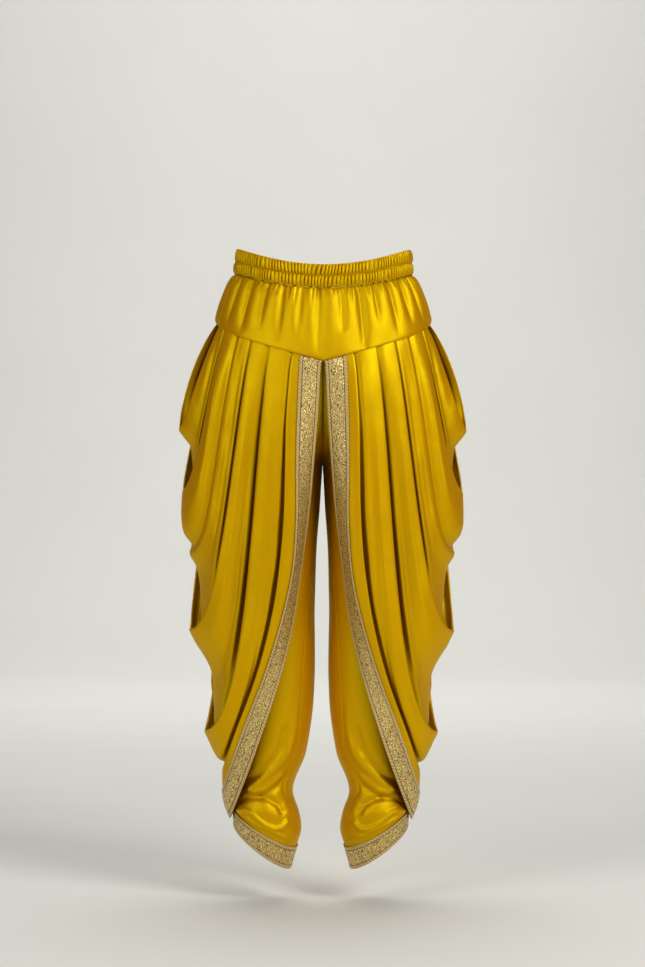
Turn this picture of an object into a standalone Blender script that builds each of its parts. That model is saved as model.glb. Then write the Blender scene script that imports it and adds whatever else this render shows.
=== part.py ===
import math
from collections import namedtuple

import bpy
from mathutils import Vector

# Pleated dhoti-style trousers, filled out as worn, with an elastic waistband.
# Sizes in this file are millimetres. Out is the distance from the centre line,
# down is the distance below the origin, depth is the distance in front of the
# side seams (negative behind them). The wearer faces -Y.
MM = 0.001
SEAM_GAP = 0.3

# Waistband, two rows of elastic gathers
WAIST_HALF_WIDTH = 137.0
WAIST_HALF_DEPTH = 98.0
BAND_FOOT_HALF_WIDTH = 140.5
BAND_FOOT_HALF_DEPTH = 101.0
BAND_HEIGHT = 40.0
BAND_TOP_AT_SIDES = 32.0
BAND_DIP_FRONT = 31.0
BAND_DIP_BACK = 20.0
BAND_FOOT_DIP_FRONT = 26.0
BAND_WALL = 2.2
BAND_RIBS = 98
BAND_RIB_HEIGHT = 1.7
BAND_VALLEY_RISE = 0.25
BAND_PROFILE = (
    (0.0, 0.0),
    (0.12, 0.8),
    (0.3, 1.0),
    (0.5, 0.4),
    (0.7, 1.0),
    (0.88, 0.8),
    (1.0, 0.1),
)

# Hip yoke
HIP_HALF_WIDTH = 173.5
HIP_HALF_DEPTH = 118.0
YOKE_DROP_AT_SIDES = 80.0
YOKE_DROP_AT_CENTRE = 151.0
YOKE_WALL = 1.2
YOKE_COLUMNS = 42
YOKE_ROWS = 4
YOKE_PUFF = 0.55
GATHER_AT_BAND = 0.25

# Drapes
CLOTH = 1.0
PLEAT_ROLL_AT_SEAM = 0.8
PLEAT_SHARE = 0.4
DRAPE_ROWS = 12
SEAM_LIFT = -1.0
SEAM_BLEND = 0.12
LOOP_CROWDING = 1.7
TIP_DEPTH = 0.85
ROLL_FULL_AT = 0.35
POCKET_FROM = 0.4
POCKET_FULL_AT = 0.9
GAPE_FROM = 0.3
FIRST_TURN = 0.6
FIRST_TURN_ROLLS = 1.8
CREASE_ANGLE = 50.0

# Brocade border
BORDER_THICK = 1.0
BORDER_BOW = 0.06
LEG_AXIS_OUT = 80.0
HEM_CLEARANCE = 0.9
HEM_COLUMNS = 26

# Under-trousers
UNDER_TUCK = 10.0
UNDER_INSET_TOP = 4.4
UNDER_INSET = 8.6
HEM_TILT_SIDE = 33.0
HEM_TILT_FRONT = 10.0
LEG_COLUMNS = 9

# Gathers of the yoke: place along the waist from one side seam (0) over the
# centre (1) to the other (2), how deep, how far down it runs (1 = whole yoke)
Gather = namedtuple("Gather", "place deep reach width")
FRONT_GATHERS = (
    Gather(0.10, 3.0, 0.9, 0.050),
    Gather(0.24, 3.6, 0.8, 0.050),
    Gather(0.38, 3.8, 0.7, 0.045),
    Gather(0.51, 3.4, 0.8, 0.045),
    Gather(0.64, 3.0, 0.6, 0.040),
    Gather(0.75, 5.4, 0.95, 0.050),
    Gather(0.88, 3.2, 0.6, 0.040),
    Gather(1.03, 3.6, 0.8, 0.045),
    Gather(1.15, 3.0, 0.7, 0.040),
    Gather(1.28, 3.8, 0.8, 0.045),
    Gather(1.41, 3.0, 0.7, 0.045),
    Gather(1.55, 3.6, 0.8, 0.045),
    Gather(1.70, 3.4, 0.8, 0.050),
    Gather(1.87, 3.2, 0.9, 0.050),
)
BACK_GATHERS = (
    Gather(0.13, 3.2, 0.8, 0.050),
    Gather(0.30, 3.8, 0.9, 0.050),
    Gather(0.46, 3.2, 0.7, 0.045),
    Gather(0.60, 4.2, 0.9, 0.045),
    Gather(0.74, 3.0, 0.6, 0.045),
    Gather(0.87, 4.0, 0.8, 0.045),
    Gather(1.01, 3.2, 0.7, 0.045),
    Gather(1.14, 4.4, 0.9, 0.045),
    Gather(1.29, 3.2, 0.7, 0.045),
    Gather(1.44, 3.8, 0.8, 0.045),
    Gather(1.58, 3.0, 0.7, 0.045),
    Gather(1.72, 4.0, 0.9, 0.050),
    Gather(1.88, 3.0, 0.8, 0.050),
)

# Fold edges of the drape. Each hangs from the yoke seam, turns outward and
# ends in a tip at the side of the leg, where it goes round to the back.
# Roll is the radius of the folded edge, pocket the depth of the hidden pleat
# and gape how far the pocket stands open at the side.
Fold = namedtuple("Fold", "seam_out hang_out hang_down turn_out turn_down tip_out tip_down "
                          "hang_depth turn_depth roll pocket gape")
FRONT_FOLDS = {
    "fold_1": Fold(166, 189, 137, 213, 228, 229, 256, 27, 20, 2.2, 9, 9),
    "fold_2": Fold(157, 180, 186, 198, 336, 223, 354, 54, 42, 2.5, 16, 8),
    "fold_3": Fold(133, 170, 258, 170, 439, 211, 450, 80, 60, 2.0, 10, 3),
    "fold_4": Fold(112, 141, 258, 157, 572, 210, 574, 98, 76, 3.0, 9, 9),
    "fold_5": Fold(83, 112, 305, 109, 714, 186, 736, 114, 98, 3.0, 11, 9),
}
BACK_FOLDS = {
    "fold_1": Fold(170, 203, 138, 228, 215, 229, 256, 27, 20, 2.2, 9, 9),
    "fold_2": Fold(164, 201, 206, 223, 312, 223, 354, 54, 42, 2.5, 16, 8),
    "fold_3": Fold(150, 192, 254, 208, 417, 211, 450, 80, 60, 2.0, 10, 3),
    "fold_4": Fold(128, 183, 270, 213, 499, 210, 574, 98, 76, 3.0, 9, 9),
    "fold_5": Fold(95, 148, 319, 169, 663, 186, 736, 114, 98, 3.0, 11, 9),
}
Pleat = namedtuple("Pleat", "roll pocket gape")
BORDER_FOLD = Pleat(1.8, 5.0, 1.0)
PLEAT_DEPTH = 20.0
FACE_BOW = 3.0
HIP_CURVE = 150.0
ROUND_FROM = 0.62
BORDER_ROUND_FROM = 0.86

# Belly of each tier at the side of the leg, from its tip down to where it
# tucks into the pocket below: share of the way to the next fold, out, down
Belly = namedtuple("Belly", "share out down")
BELLIES = {
    "fold_1": (Belly(0.30, 226, 264), Belly(0.66, 209, 286)),
    "fold_2": (Belly(0.30, 225, 378), Belly(0.66, 221, 422)),
    "fold_3": (Belly(0.50, 202, 472),),
    "fold_4": (Belly(0.30, 203, 594), Belly(0.66, 176, 644)),
    "fold_5": (Belly(0.30, 181, 752), Belly(0.66, 163, 784)),
}
SOFT_FOLDS = ("fold_3",)
SOFT_GROOVE_AT_SEAM = 2.5
SOFT_GROOVE = 5.0
SOFT_DEPTH_AT_SEAM = 2.6
SOFT_RISE = 0.4
BELLY_FROM = 0.5

# Last fold and the brocade border, from the yoke seam (first row) to the
# outer ankle (last row)
Station = namedtuple("Station", "fold_out fold_down fold_depth outer_out outer_down outer_depth "
                                "inner_out inner_down inner_depth")
BORDER_STATIONS = (
    Station(46, 144, 115, 35, 146, 117, 2, 151, 118),
    Station(56, 227, 119, 40, 227, 119, 8, 230, 109),
    Station(58, 308, 120, 42, 308, 119, 15, 314, 98),
    Station(60, 395, 118, 42, 395, 115, 23, 399, 85),
    Station(67, 478, 113, 48, 478, 109, 34, 479, 77),
    Station(80, 558, 106, 65, 558, 103, 45, 559, 76),
    Station(102, 643, 94, 91, 643, 92, 63, 638, 78),
    Station(136, 736, 66, 128, 743, 66, 97, 748, 79),
    Station(157, 798, 56, 157, 832, 62, 144.5, 877, 68),
)

# Sections of one leg of the under-trousers: how far down, where its middle
# lies, half its width, half its depth, its share of the slant of the hem, and
# where the inseam lies, in degrees round the front from the outer side
Section = namedtuple("Section", "down middle half_width half_depth slant inseam")
LEG_SECTIONS = (
    Section(215, 34, 122, 103, 0.0, 180),
    Section(270, 58, 98, 96, 0.0, 180),
    Section(322, 78, 77, 86, 0.0, 180),
    Section(410, 78, 71, 79, 0.0, 166),
    Section(550, 79, 67, 71, 0.0, 145),
    Section(690, 79, 66, 63, 0.05, 133),
    Section(765, 84, 60, 59, 0.2, 138),
    Section(820, 91, 46, 50, 0.5, 146),
    Section(846, 86, 51, 54, 0.65, 148),
    Section(868, 86, 54.5, 56, 0.78, 150),
    Section(889, 89, 50.5, 56, 0.9, 154),
    Section(920, 93, 45, 51, 1.0, 160),
)

Finish = namedtuple("Finish", "colour roughness metallic")
FINISHES = {
    "satin": Finish((0.72, 0.50, 0.01, 1.0), 0.35, 0.0),
    "satin_shade": Finish((0.60, 0.38, 0.01, 1.0), 0.4, 0.0),
    "brocade": Finish((0.48, 0.36, 0.10, 1.0), 0.45, 0.5),
}


def lerp(a, b, t):
    return a + (b - a) * t


def smooth(t):
    t = min(1.0, max(0.0, t))
    return t * t * (3.0 - 2.0 * t)


def bezier(a, b, c, d, t):
    u = 1.0 - t
    return u * u * u * a + 3 * u * u * t * b + 3 * u * t * t * c + t * t * t * d


def through(values, t):
    """Smooth curve through evenly spaced values."""
    last = len(values) - 1
    i = min(int(t * last), last - 1)
    f = t * last - i
    b, c = values[i], values[i + 1]
    a = values[i - 1] if i > 0 else 2 * b - c
    d = values[i + 2] if i + 2 <= last else 2 * c - b
    return 0.5 * (2 * b + (c - a) * f + (2 * a - 5 * b + 4 * c - d) * f * f
                  + (3 * b - 3 * c + d - a) * f * f * f)


# The hips

def oval(angle, half_width, half_depth):
    """Angle 0 is the wearer's left side seam, 90 degrees the front, 180 the other side."""
    return half_width * math.cos(angle), -half_depth * math.sin(angle)


def quarter(angle):
    """0 at a side seam, 1 at the centre front or back."""
    return math.asin(min(1.0, abs(math.sin(angle)))) / (math.pi / 2)


def yoke_foot_down(angle):
    return lerp(YOKE_DROP_AT_SIDES, YOKE_DROP_AT_CENTRE, quarter(angle))


def band_top_down(angle):
    dip = BAND_DIP_FRONT if math.sin(angle) > 0 else BAND_DIP_BACK
    return -BAND_TOP_AT_SIDES + dip * math.sin(angle) ** 2


def band_foot_down(angle):
    dip = BAND_FOOT_DIP_FRONT if math.sin(angle) > 0 else BAND_DIP_BACK
    return BAND_HEIGHT - BAND_TOP_AT_SIDES + dip * math.sin(angle) ** 2


def hip_point(out, front):
    """Place on the hip oval that lies so far out, and its outward direction."""
    share = min(0.9999, out / HIP_HALF_WIDTH)
    angle = math.acos(share)
    sign = -1.0 if front else 1.0
    place = Vector((out, sign * HIP_HALF_DEPTH * math.sin(angle), -yoke_foot_down(angle) - SEAM_GAP))
    normal = Vector((math.cos(angle) / HIP_HALF_WIDTH, sign * math.sin(angle) / HIP_HALF_DEPTH, 0.0))
    return place, normal.normalized()


# Shells

def grid_normals(grid, closed, level_rows):
    rows, columns = len(grid), len(grid[0])
    normals = []
    for r in range(rows):
        line = []
        for c in range(columns):
            left = grid[r][(c - 1) % columns] if closed or c > 0 else grid[r][c]
            right = grid[r][(c + 1) % columns] if closed or c < columns - 1 else grid[r][c]
            above = grid[max(r - 1, 0)][c]
            below = grid[min(r + 1, rows - 1)][c]
            here = grid[r][c]
            normal = Vector()
            for p, q in ((left, above), (above, right), (right, below), (below, left)):
                part = (p - here).cross(q - here)
                if part.length > 1e-9:
                    normal += part.normalized()
            if r in level_rows:
                normal.z = 0.0
            line.append(normal.normalized())
        normals.append(line)
    return normals


def shell(name, grid, wall, material, closed=False, level_rows=(), lift=0.0):
    """Cloth wall round a grid of points: rows from top to bottom, in millimetres.
    The wall lies half on each side of the grid, moved outward by lift."""
    rows, columns = len(grid), len(grid[0])
    normals = grid_normals(grid, closed, level_rows)
    points = []
    for half in (0.5, -0.5):
        for r in range(rows):
            for c in range(columns):
                reach = lift + half * wall
                points.append((grid[r][c] + normals[r][c] * reach) * MM)
    back = rows * columns

    def at(side, r, c):
        return side * back + r * columns + c % columns

    faces = []
    spans = columns if closed else columns - 1
    for r in range(rows - 1):
        for c in range(spans):
            faces.append((at(0, r, c), at(0, r, c + 1), at(0, r + 1, c + 1), at(0, r + 1, c)))
            faces.append((at(1, r, c), at(1, r + 1, c), at(1, r + 1, c + 1), at(1, r, c + 1)))
    for c in range(spans):
        faces.append((at(0, 0, c), at(1, 0, c), at(1, 0, c + 1), at(0, 0, c + 1)))
        foot = rows - 1
        faces.append((at(0, foot, c), at(0, foot, c + 1), at(1, foot, c + 1), at(1, foot, c)))
    if not closed:
        for r in range(rows - 1):
            faces.append((at(0, r, 0), at(0, r + 1, 0), at(1, r + 1, 0), at(1, r, 0)))
            faces.append((at(0, r, spans), at(1, r, spans), at(1, r + 1, spans), at(0, r + 1, spans)))
    return add_mesh(name, points, faces, material)


def add_mesh(name, points, faces, material):
    mesh = bpy.data.meshes.new(name)
    mesh.from_pydata(points, [], faces)
    mesh.validate()
    mesh.materials.append(material)
    mesh.shade_smooth()
    mesh.set_sharp_from_angle(angle=math.radians(CREASE_ANGLE))
    obj = bpy.data.objects.new(name, mesh)
    bpy.context.scene.collection.objects.link(obj)
    return obj


def cloth_material(name, kind):
    finish = FINISHES[kind]
    material = bpy.data.materials.new(name)
    material.use_nodes = True
    surface = material.node_tree.nodes["Principled BSDF"]
    surface.inputs["Base Color"].default_value = finish.colour
    surface.inputs["Roughness"].default_value = finish.roughness
    surface.inputs["Metallic"].default_value = finish.metallic
    return material


# Waistband

def make_waistband():
    """One closed band: ribs raised on its outer side, plain inside."""
    columns = 2 * BAND_RIBS
    points, faces = [], []
    for c in range(columns):
        angle = 2 * math.pi * c / columns
        rib = BAND_RIB_HEIGHT if c % 2 else BAND_VALLEY_RISE
        ring = [(share, BAND_WALL / 2 + bulge * rib) for share, bulge in BAND_PROFILE]
        ring += [(1.0, -BAND_WALL / 2), (0.0, -BAND_WALL / 2)]
        for share, reach in ring:
            half_width = lerp(WAIST_HALF_WIDTH, BAND_FOOT_HALF_WIDTH, share)
            half_depth = lerp(WAIST_HALF_DEPTH, BAND_FOOT_HALF_DEPTH, share)
            x, y = oval(angle, half_width, half_depth)
            normal = Vector((x / half_width ** 2, y / half_depth ** 2, 0.0)).normalized()
            down = lerp(band_top_down(angle), band_foot_down(angle), share)
            points.append((Vector((x, y, -down)) + normal * reach) * MM)
    size = len(BAND_PROFILE) + 2
    for c in range(columns):
        here, there = c * size, (c + 1) % columns * size
        for k in range(size):
            low = (k + 1) % size
            faces.append((here + k, there + k, there + low, here + low))
    add_mesh("waistband", points, faces, cloth_material("waistband_satin", "satin"))


# Yoke

def gather_depth(gathers, place, share):
    total = 0.0
    for g in gathers:
        fade = max(0.0, 1.0 - (share / g.reach) ** 2)
        total += g.deep * fade * math.exp(-((place - g.place) / g.width) ** 2)
    return total


def make_yoke(front):
    gathers = FRONT_GATHERS if front else BACK_GATHERS
    start = 0.0 if front else math.pi
    edge = SEAM_GAP / 2 / HIP_HALF_DEPTH
    grid = []
    for r in range(YOKE_ROWS + 1):
        share = r / YOKE_ROWS
        swell = share ** YOKE_PUFF
        line = []
        for c in range(YOKE_COLUMNS + 1):
            place = 2.0 * c / YOKE_COLUMNS
            angle = start + edge + (math.pi - 2 * edge) * c / YOKE_COLUMNS
            half_width = lerp(BAND_FOOT_HALF_WIDTH, HIP_HALF_WIDTH, swell)
            half_depth = lerp(BAND_FOOT_HALF_DEPTH, HIP_HALF_DEPTH, swell)
            x, y = oval(angle, half_width, half_depth)
            down = lerp(band_foot_down(angle) + SEAM_GAP, yoke_foot_down(angle), share)
            normal = Vector((x / half_width ** 2, y / half_depth ** 2, 0.0)).normalized()
            onset = math.sin(math.pi / 2 * min(1.0, share * 2 + GATHER_AT_BAND))
            hollow = gather_depth(gathers, place, share) * onset
            line.append(Vector((x, y, -down)) - normal * hollow)
        grid.append(line)
    name = "yoke_front" if front else "yoke_back"
    material = cloth_material(name + "_satin", "satin")
    shell(name, grid, YOKE_WALL, material, level_rows=(0, YOKE_ROWS))


# Drapes

def loop_shares():
    """Way along a loop: 0 at the front seam, 1 at the side, 2 at the back seam."""
    half = [1.0 - (1.0 - i / DRAPE_ROWS) ** LOOP_CROWDING for i in range(DRAPE_ROWS + 1)]
    return half + [2.0 - t for t in reversed(half[:-1])]


def rounding(t, start):
    if t <= start:
        return 1.0
    return math.sqrt(max(0.0, 1.0 - ((t - start) / (1.0 - start)) ** 2))


def fold_point(name, way):
    front = way <= 1.0
    t = way if front else 2.0 - way
    fold = (FRONT_FOLDS if front else BACK_FOLDS)[name]
    seam, normal = hip_point(fold.seam_out, front)
    seam = seam + normal * SEAM_LIFT
    out = bezier(seam.x, fold.hang_out, fold.turn_out, fold.tip_out, t)
    down = bezier(-seam.z, fold.hang_down, fold.turn_down, fold.tip_down, t)
    depth = bezier(abs(seam.y), fold.hang_depth, fold.turn_depth, fold.turn_depth * TIP_DEPTH, t)
    depth *= rounding(t, ROUND_FROM)
    return Vector((out, -depth if front else depth, -down))


def station_point(kind, way):
    front = way <= 1.0
    t = way if front else 2.0 - way
    out = through([getattr(s, kind + "_out") for s in BORDER_STATIONS], t)
    down = through([getattr(s, kind + "_down") for s in BORDER_STATIONS], t)
    depth = through([getattr(s, kind + "_depth") for s in BORDER_STATIONS], t)
    seam, normal = hip_point(getattr(BORDER_STATIONS[0], kind + "_out"), front)
    near = 1.0 - smooth(t / SEAM_BLEND)
    depth = lerp(depth, abs(seam.y + normal.y * SEAM_LIFT), near)
    down = lerp(down, -seam.z, near)
    depth *= rounding(t, BORDER_ROUND_FROM)
    return Vector((out, -depth if front else depth, -down))


def pleat_sizes(name, t):
    fold = FRONT_FOLDS.get(name, BORDER_FOLD)
    roll = lerp(PLEAT_ROLL_AT_SEAM, fold.roll, smooth(t / ROLL_FULL_AT))
    pocket = lerp(PLEAT_DEPTH, fold.pocket, smooth((t - POCKET_FROM) / (POCKET_FULL_AT - POCKET_FROM)))
    return roll, pocket, fold.gape * smooth((t - GAPE_FROM) / (1.0 - GAPE_FROM))


def pleat_frame(line, following, i):
    """Direction into the cloth and direction away from the leg, at a fold's edge."""
    before = line[max(i - 1, 0)]
    after = line[min(i + 1, len(line) - 1)]
    along = (after - before).normalized()
    inward = following[i] - line[i]
    inward -= along * inward.dot(along)
    reach = inward.length
    inward.normalize()
    return inward, inward.cross(along).normalized(), reach


def on_yoke_seam(row):
    """Brings a row of the drape's top edge onto the curved yoke seam."""
    for p in row:
        angle = math.atan2(abs(p.y) / HIP_HALF_DEPTH, p.x / HIP_HALF_WIDTH)
        p.z = -yoke_foot_down(angle) - SEAM_GAP


def tier_face(name, start, end, away, roll):
    """Visible cloth between one fold's edge and the pocket of the next fold."""
    bow = min(FACE_BOW, (end - start).length_squared / (8 * HIP_CURVE))
    points = []
    for belly in BELLIES[name]:
        share = belly.share
        rise = 4 * roll * (share - share ** 3) + 4 * bow * share * (1 - share)
        points.append(start.lerp(end, share) + away * rise)
    return points


def fill_bellies(rows, face_columns, ways):
    """Swells each tier at the side of the leg to the outline of its belly."""
    side = len(ways) // 2
    for name, first in face_columns.items():
        for k, belly in enumerate(BELLIES[name]):
            flat = rows[side][first + k]
            swell = Vector((belly.out - flat.x, 0.0, -belly.down - flat.z))
            for row, way in zip(rows, ways):
                row[first + k] += swell * smooth((1.0 - abs(1.0 - way) - BELLY_FROM) / (1.0 - BELLY_FROM))


def drape_columns():
    """Columns of the drape, from the turned-in edge at the hip to the free front edge."""
    ways = loop_shares()
    names = list(FRONT_FOLDS) + ["border_fold"]
    lines = {n: [fold_point(n, w) for w in ways] for n in FRONT_FOLDS}
    lines["border_fold"] = [station_point("fold", w) for w in ways]
    outer = [station_point("outer", w) for w in ways]
    inner = [station_point("inner", w) for w in ways]
    following = {n: lines[names[k + 1]] if k + 1 < len(names) else outer for k, n in enumerate(names)}
    rows = []
    face_columns = {}
    for i, way in enumerate(ways):
        t = way if way <= 1.0 else 2.0 - way
        row = []
        for k, name in enumerate(names):
            if k > 0:
                face_columns[names[k - 1]] = len(row)
            edge = lines[name][i]
            inward, away, reach = pleat_frame(lines[name], following[name], i)
            roll, pocket, gape = pleat_sizes(name, t)
            tuck = min(pocket, PLEAT_SHARE * reach)
            if name in SOFT_FOLDS:
                hollow = max(roll + gape, lerp(SOFT_DEPTH_AT_SEAM, 0.0, t))
                groove = edge - inward * lerp(SOFT_GROOVE_AT_SEAM, SOFT_GROOVE, t) - away * hollow
                row += tier_face(names[k - 1], start, groove, start_away, start_roll)
                row += [groove, edge]
                start = edge + inward * SOFT_GROOVE + away * SOFT_RISE
            elif k > 0:
                below = -away * (3 * roll + gape)
                under = edge - inward * roll + below
                row += tier_face(names[k - 1], start, under, start_away, start_roll)
                row.append(under)
                row.append(edge + inward * tuck + below)
                row.append(edge + inward * (tuck + roll) - away * 2 * roll)
                row.append(edge + inward * tuck - away * roll)
            else:
                row.append(edge + inward * tuck * FIRST_TURN - away * (FIRST_TURN_ROLLS * roll + gape))
            if name not in SOFT_FOLDS:
                row.append(edge + inward * roll - away * roll)
                row.append(edge)
                start = edge + inward * roll + away * roll
            start_away, start_roll = away, roll
            row.append(start)
        middle = outer[i].lerp(inner[i], 0.5)
        bow = (outer[i] - inner[i]).length * BORDER_BOW
        middle += Vector((middle.x - LEG_AXIS_OUT, middle.y, 0.0)).normalized() * bow
        row += [outer[i], middle, inner[i]]
        rows.append([Vector(p) for p in row])
    fill_bellies(rows, face_columns, ways)
    on_yoke_seam(rows[0])
    on_yoke_seam(rows[-1])
    return rows


def mirrored(grid, side):
    """The wearer's left leg lies at +X, the right leg is its mirror image."""
    if side > 0:
        return grid
    return [[Vector((-p.x, p.y, p.z)) for p in reversed(line)] for line in grid]


def make_drape(side, label):
    grid = mirrored(drape_columns(), side)
    material = cloth_material("drape_satin_" + label, "satin")
    shell("drape_" + label, grid, CLOTH, material, level_rows=(0, len(grid) - 1))


def make_border(side, label):
    grid = [line[-3:] for line in drape_columns()]
    grid = mirrored(grid, side)
    material = cloth_material("border_brocade_" + label, "brocade")
    lift = CLOTH / 2 + SEAM_GAP + BORDER_THICK / 2
    shell("drape_border_" + label, grid, BORDER_THICK, material,
          level_rows=(0, len(grid) - 1), lift=lift)


# Under-trousers

def leg_point(section, turn):
    """Turn 0 is the outer side, 90 degrees the front, 180 the inner side."""
    slant = section.slant * (HEM_TILT_FRONT * math.sin(turn) - HEM_TILT_SIDE * math.cos(turn))
    return Vector((section.middle + section.half_width * math.cos(turn),
                   -section.half_depth * math.sin(turn), -section.down - slant))


def last_turn(section, front):
    """Where a panel ends: the centre line above the crotch, the inseam below it."""
    if section.middle < section.half_width:
        return math.acos(-(section.middle - SEAM_GAP / 2) / section.half_width)
    inseam = math.radians(section.inseam)
    return inseam if front else 2 * math.pi - inseam


def under_yoke_point(share, sign, inset, rise):
    """Top of the under-trousers, just inside the yoke. Share 0 is the side seam, 1 the centre."""
    angle = share * math.pi / 2
    x, y = oval(angle, HIP_HALF_WIDTH - inset, HIP_HALF_DEPTH - inset)
    return Vector((max(x, SEAM_GAP / 2), sign * min(y, -SEAM_GAP / 2), -yoke_foot_down(angle) + rise))


def make_leg_panel(front, side, label):
    sign = 1.0 if front else -1.0
    shares = [c / LEG_COLUMNS for c in range(LEG_COLUMNS + 1)]
    grid = [[under_yoke_point(f, sign, UNDER_INSET_TOP, UNDER_TUCK) for f in shares],
            [under_yoke_point(f, sign, UNDER_INSET, -UNDER_TUCK) for f in shares]]
    for section in LEG_SECTIONS:
        margin = SEAM_GAP / 2 / section.half_depth
        last = last_turn(section, front) - margin
        grid.append([leg_point(section, sign * lerp(margin, last, f)) for f in shares])
    if (side > 0) != front:
        grid = [list(reversed(line)) for line in grid]
    if side < 0:
        grid = [[Vector((-p.x, p.y, p.z)) for p in line] for line in grid]
    name = ("under_front_" if front else "under_back_") + label
    material = cloth_material(name + "_satin", "satin_shade")
    shell(name, grid, CLOTH, material)


def make_hem_border(side, label):
    """Brocade band on the last two sections of the leg, moved out from the cloth."""
    grid = []
    for section in LEG_SECTIONS[-2:]:
        grid.append([leg_point(section, 2 * math.pi * c / HEM_COLUMNS) for c in range(HEM_COLUMNS)])
    if side < 0:
        grid = [[Vector((-p.x, p.y, p.z)) for p in reversed(line)] for line in grid]
    material = cloth_material("hem_brocade_" + label, "brocade")
    lift = CLOTH / 2 + HEM_CLEARANCE + BORDER_THICK / 2
    shell("hem_border_" + label, grid, BORDER_THICK, material, closed=True, level_rows=(0, 1), lift=lift)


def main():
    for old in list(bpy.data.objects):
        bpy.data.objects.remove(old, do_unlink=True)
    make_waistband()
    make_yoke(True)
    make_yoke(False)
    for side, label in ((1, "left"), (-1, "right")):
        make_leg_panel(True, side, label)
        make_leg_panel(False, side, label)
        make_drape(side, label)
        make_border(side, label)
        make_hem_border(side, label)


main()
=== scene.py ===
import math
from collections import namedtuple

import bpy
import numpy as np
from bpy.props import (FloatProperty, FloatVectorProperty, IntProperty, PointerProperty)
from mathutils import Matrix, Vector, noise


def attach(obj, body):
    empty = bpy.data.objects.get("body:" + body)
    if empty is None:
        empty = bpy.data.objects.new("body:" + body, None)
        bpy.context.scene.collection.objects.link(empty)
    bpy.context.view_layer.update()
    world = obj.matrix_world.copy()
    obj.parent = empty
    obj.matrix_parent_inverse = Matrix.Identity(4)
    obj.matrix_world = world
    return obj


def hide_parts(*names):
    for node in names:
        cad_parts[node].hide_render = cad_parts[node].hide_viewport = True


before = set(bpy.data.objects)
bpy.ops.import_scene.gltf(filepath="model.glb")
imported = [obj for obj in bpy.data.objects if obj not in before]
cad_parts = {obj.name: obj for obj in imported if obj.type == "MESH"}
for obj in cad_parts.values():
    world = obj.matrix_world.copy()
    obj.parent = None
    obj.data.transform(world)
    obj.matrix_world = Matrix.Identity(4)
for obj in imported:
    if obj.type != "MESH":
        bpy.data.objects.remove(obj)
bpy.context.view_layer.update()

bl_info = {
    "name": "Pleated draped trousers",
    "version": (1, 0, 0),
    "blender": (4, 5, 0),
    "location": "3D View > Sidebar > Trousers",
    "description": "Draped satin trousers with an elastic waist, cowls and brocade ribbons",
    "category": "Add Mesh",
}

# Sizes in this file are millimetres. Out is the distance from the centre line,
# down is the distance below the middle of the waistband, depth is the distance
# in front of the side seams. The wearer faces -Y.
MM = 0.001

# Waistband
WAIST_HALF_WIDTH = 137.0
WAIST_HALF_DEPTH = 98.0
BAND_FOOT_HALF_WIDTH = 140.5
BAND_FOOT_HALF_DEPTH = 101.0
BAND_HEIGHT = 40.0
BAND_TOP_AT_SIDES = 32.0
BAND_DIP_FRONT = 31.0
BAND_DIP_BACK = 20.0
BAND_FOOT_DIP_FRONT = 26.0
BAND_WALL = 2.2
BAND_STEPS_PER_RIB = 7
BAND_STEPS_DOWN = 15
BAND_LIP = 0.9
BAND_LIP_SHARE = 0.035

# Unevenness round the band: size, waves in one turn, phase. The wobble shifts
# the ribs sideways, the slant leans them, both as a share of a rib.
RIB_WOBBLE = ((0.28, 9, 0.7), (0.22, 17, 0.0))
RIB_SLANT = ((0.8, 3, 1.0), (0.5, 7, 0.0))
LOWER_ROW_WOBBLE = 0.8
LOWER_ROW_SLANT = 0.4
RIB_UNEVEN = 0.25
RIB_UNEVEN_WAVES = 23

# Height of the ribs from the top of the band to its foot: share of the way, height
BAND_PROFILE = (
    (0.00, 0.10),
    (0.05, 0.55),
    (0.12, 0.90),
    (0.25, 1.05),
    (0.40, 0.95),
    (0.47, 0.55),
    (0.50, 0.15),
    (0.53, 0.50),
    (0.60, 0.90),
    (0.75, 1.00),
    (0.88, 0.85),
    (0.95, 0.50),
    (1.00, 0.10),
)

# Hip yoke
HIP_HALF_WIDTH = 173.5
HIP_HALF_DEPTH = 118.0
YOKE_DROP_AT_SIDES = 80.0
YOKE_DROP_AT_CENTRE = 151.0
YOKE_WALL = 1.0
YOKE_COLUMNS = 260
YOKE_ROWS = 40
YOKE_PUFF = 0.55
GATHER_AT_BAND = 0.45
GATHER_ONSET = 4
GATHER_RUN = 1.15
SIDE_FADE = 0.05
CREASE_SHARE = 0.8
CREASE_WIDTH = 0.42
SEAM_GAP = 0.3
SEAM_ROLL = 0.8
SEAM_ROLL_FROM = 0.985
YOKE_WAVE_SIZE = 34.0
YOKE_WAVE_HEIGHT = 0.7
YOKE_WAVE_FROM = 0.3

# Short puckers under the band: how many on each yoke piece, then least and
# most of how deep, how far down and how wide each is, and how much it leans
PUCKERS = 46
PUCKER_DEEP = (1.4, 3.8)
PUCKER_REACH = (0.12, 0.45)
PUCKER_WIDTH = (0.007, 0.013)
PUCKER_LEAN = 0.02
PUCKER_SHIFT = 0.6

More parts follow.
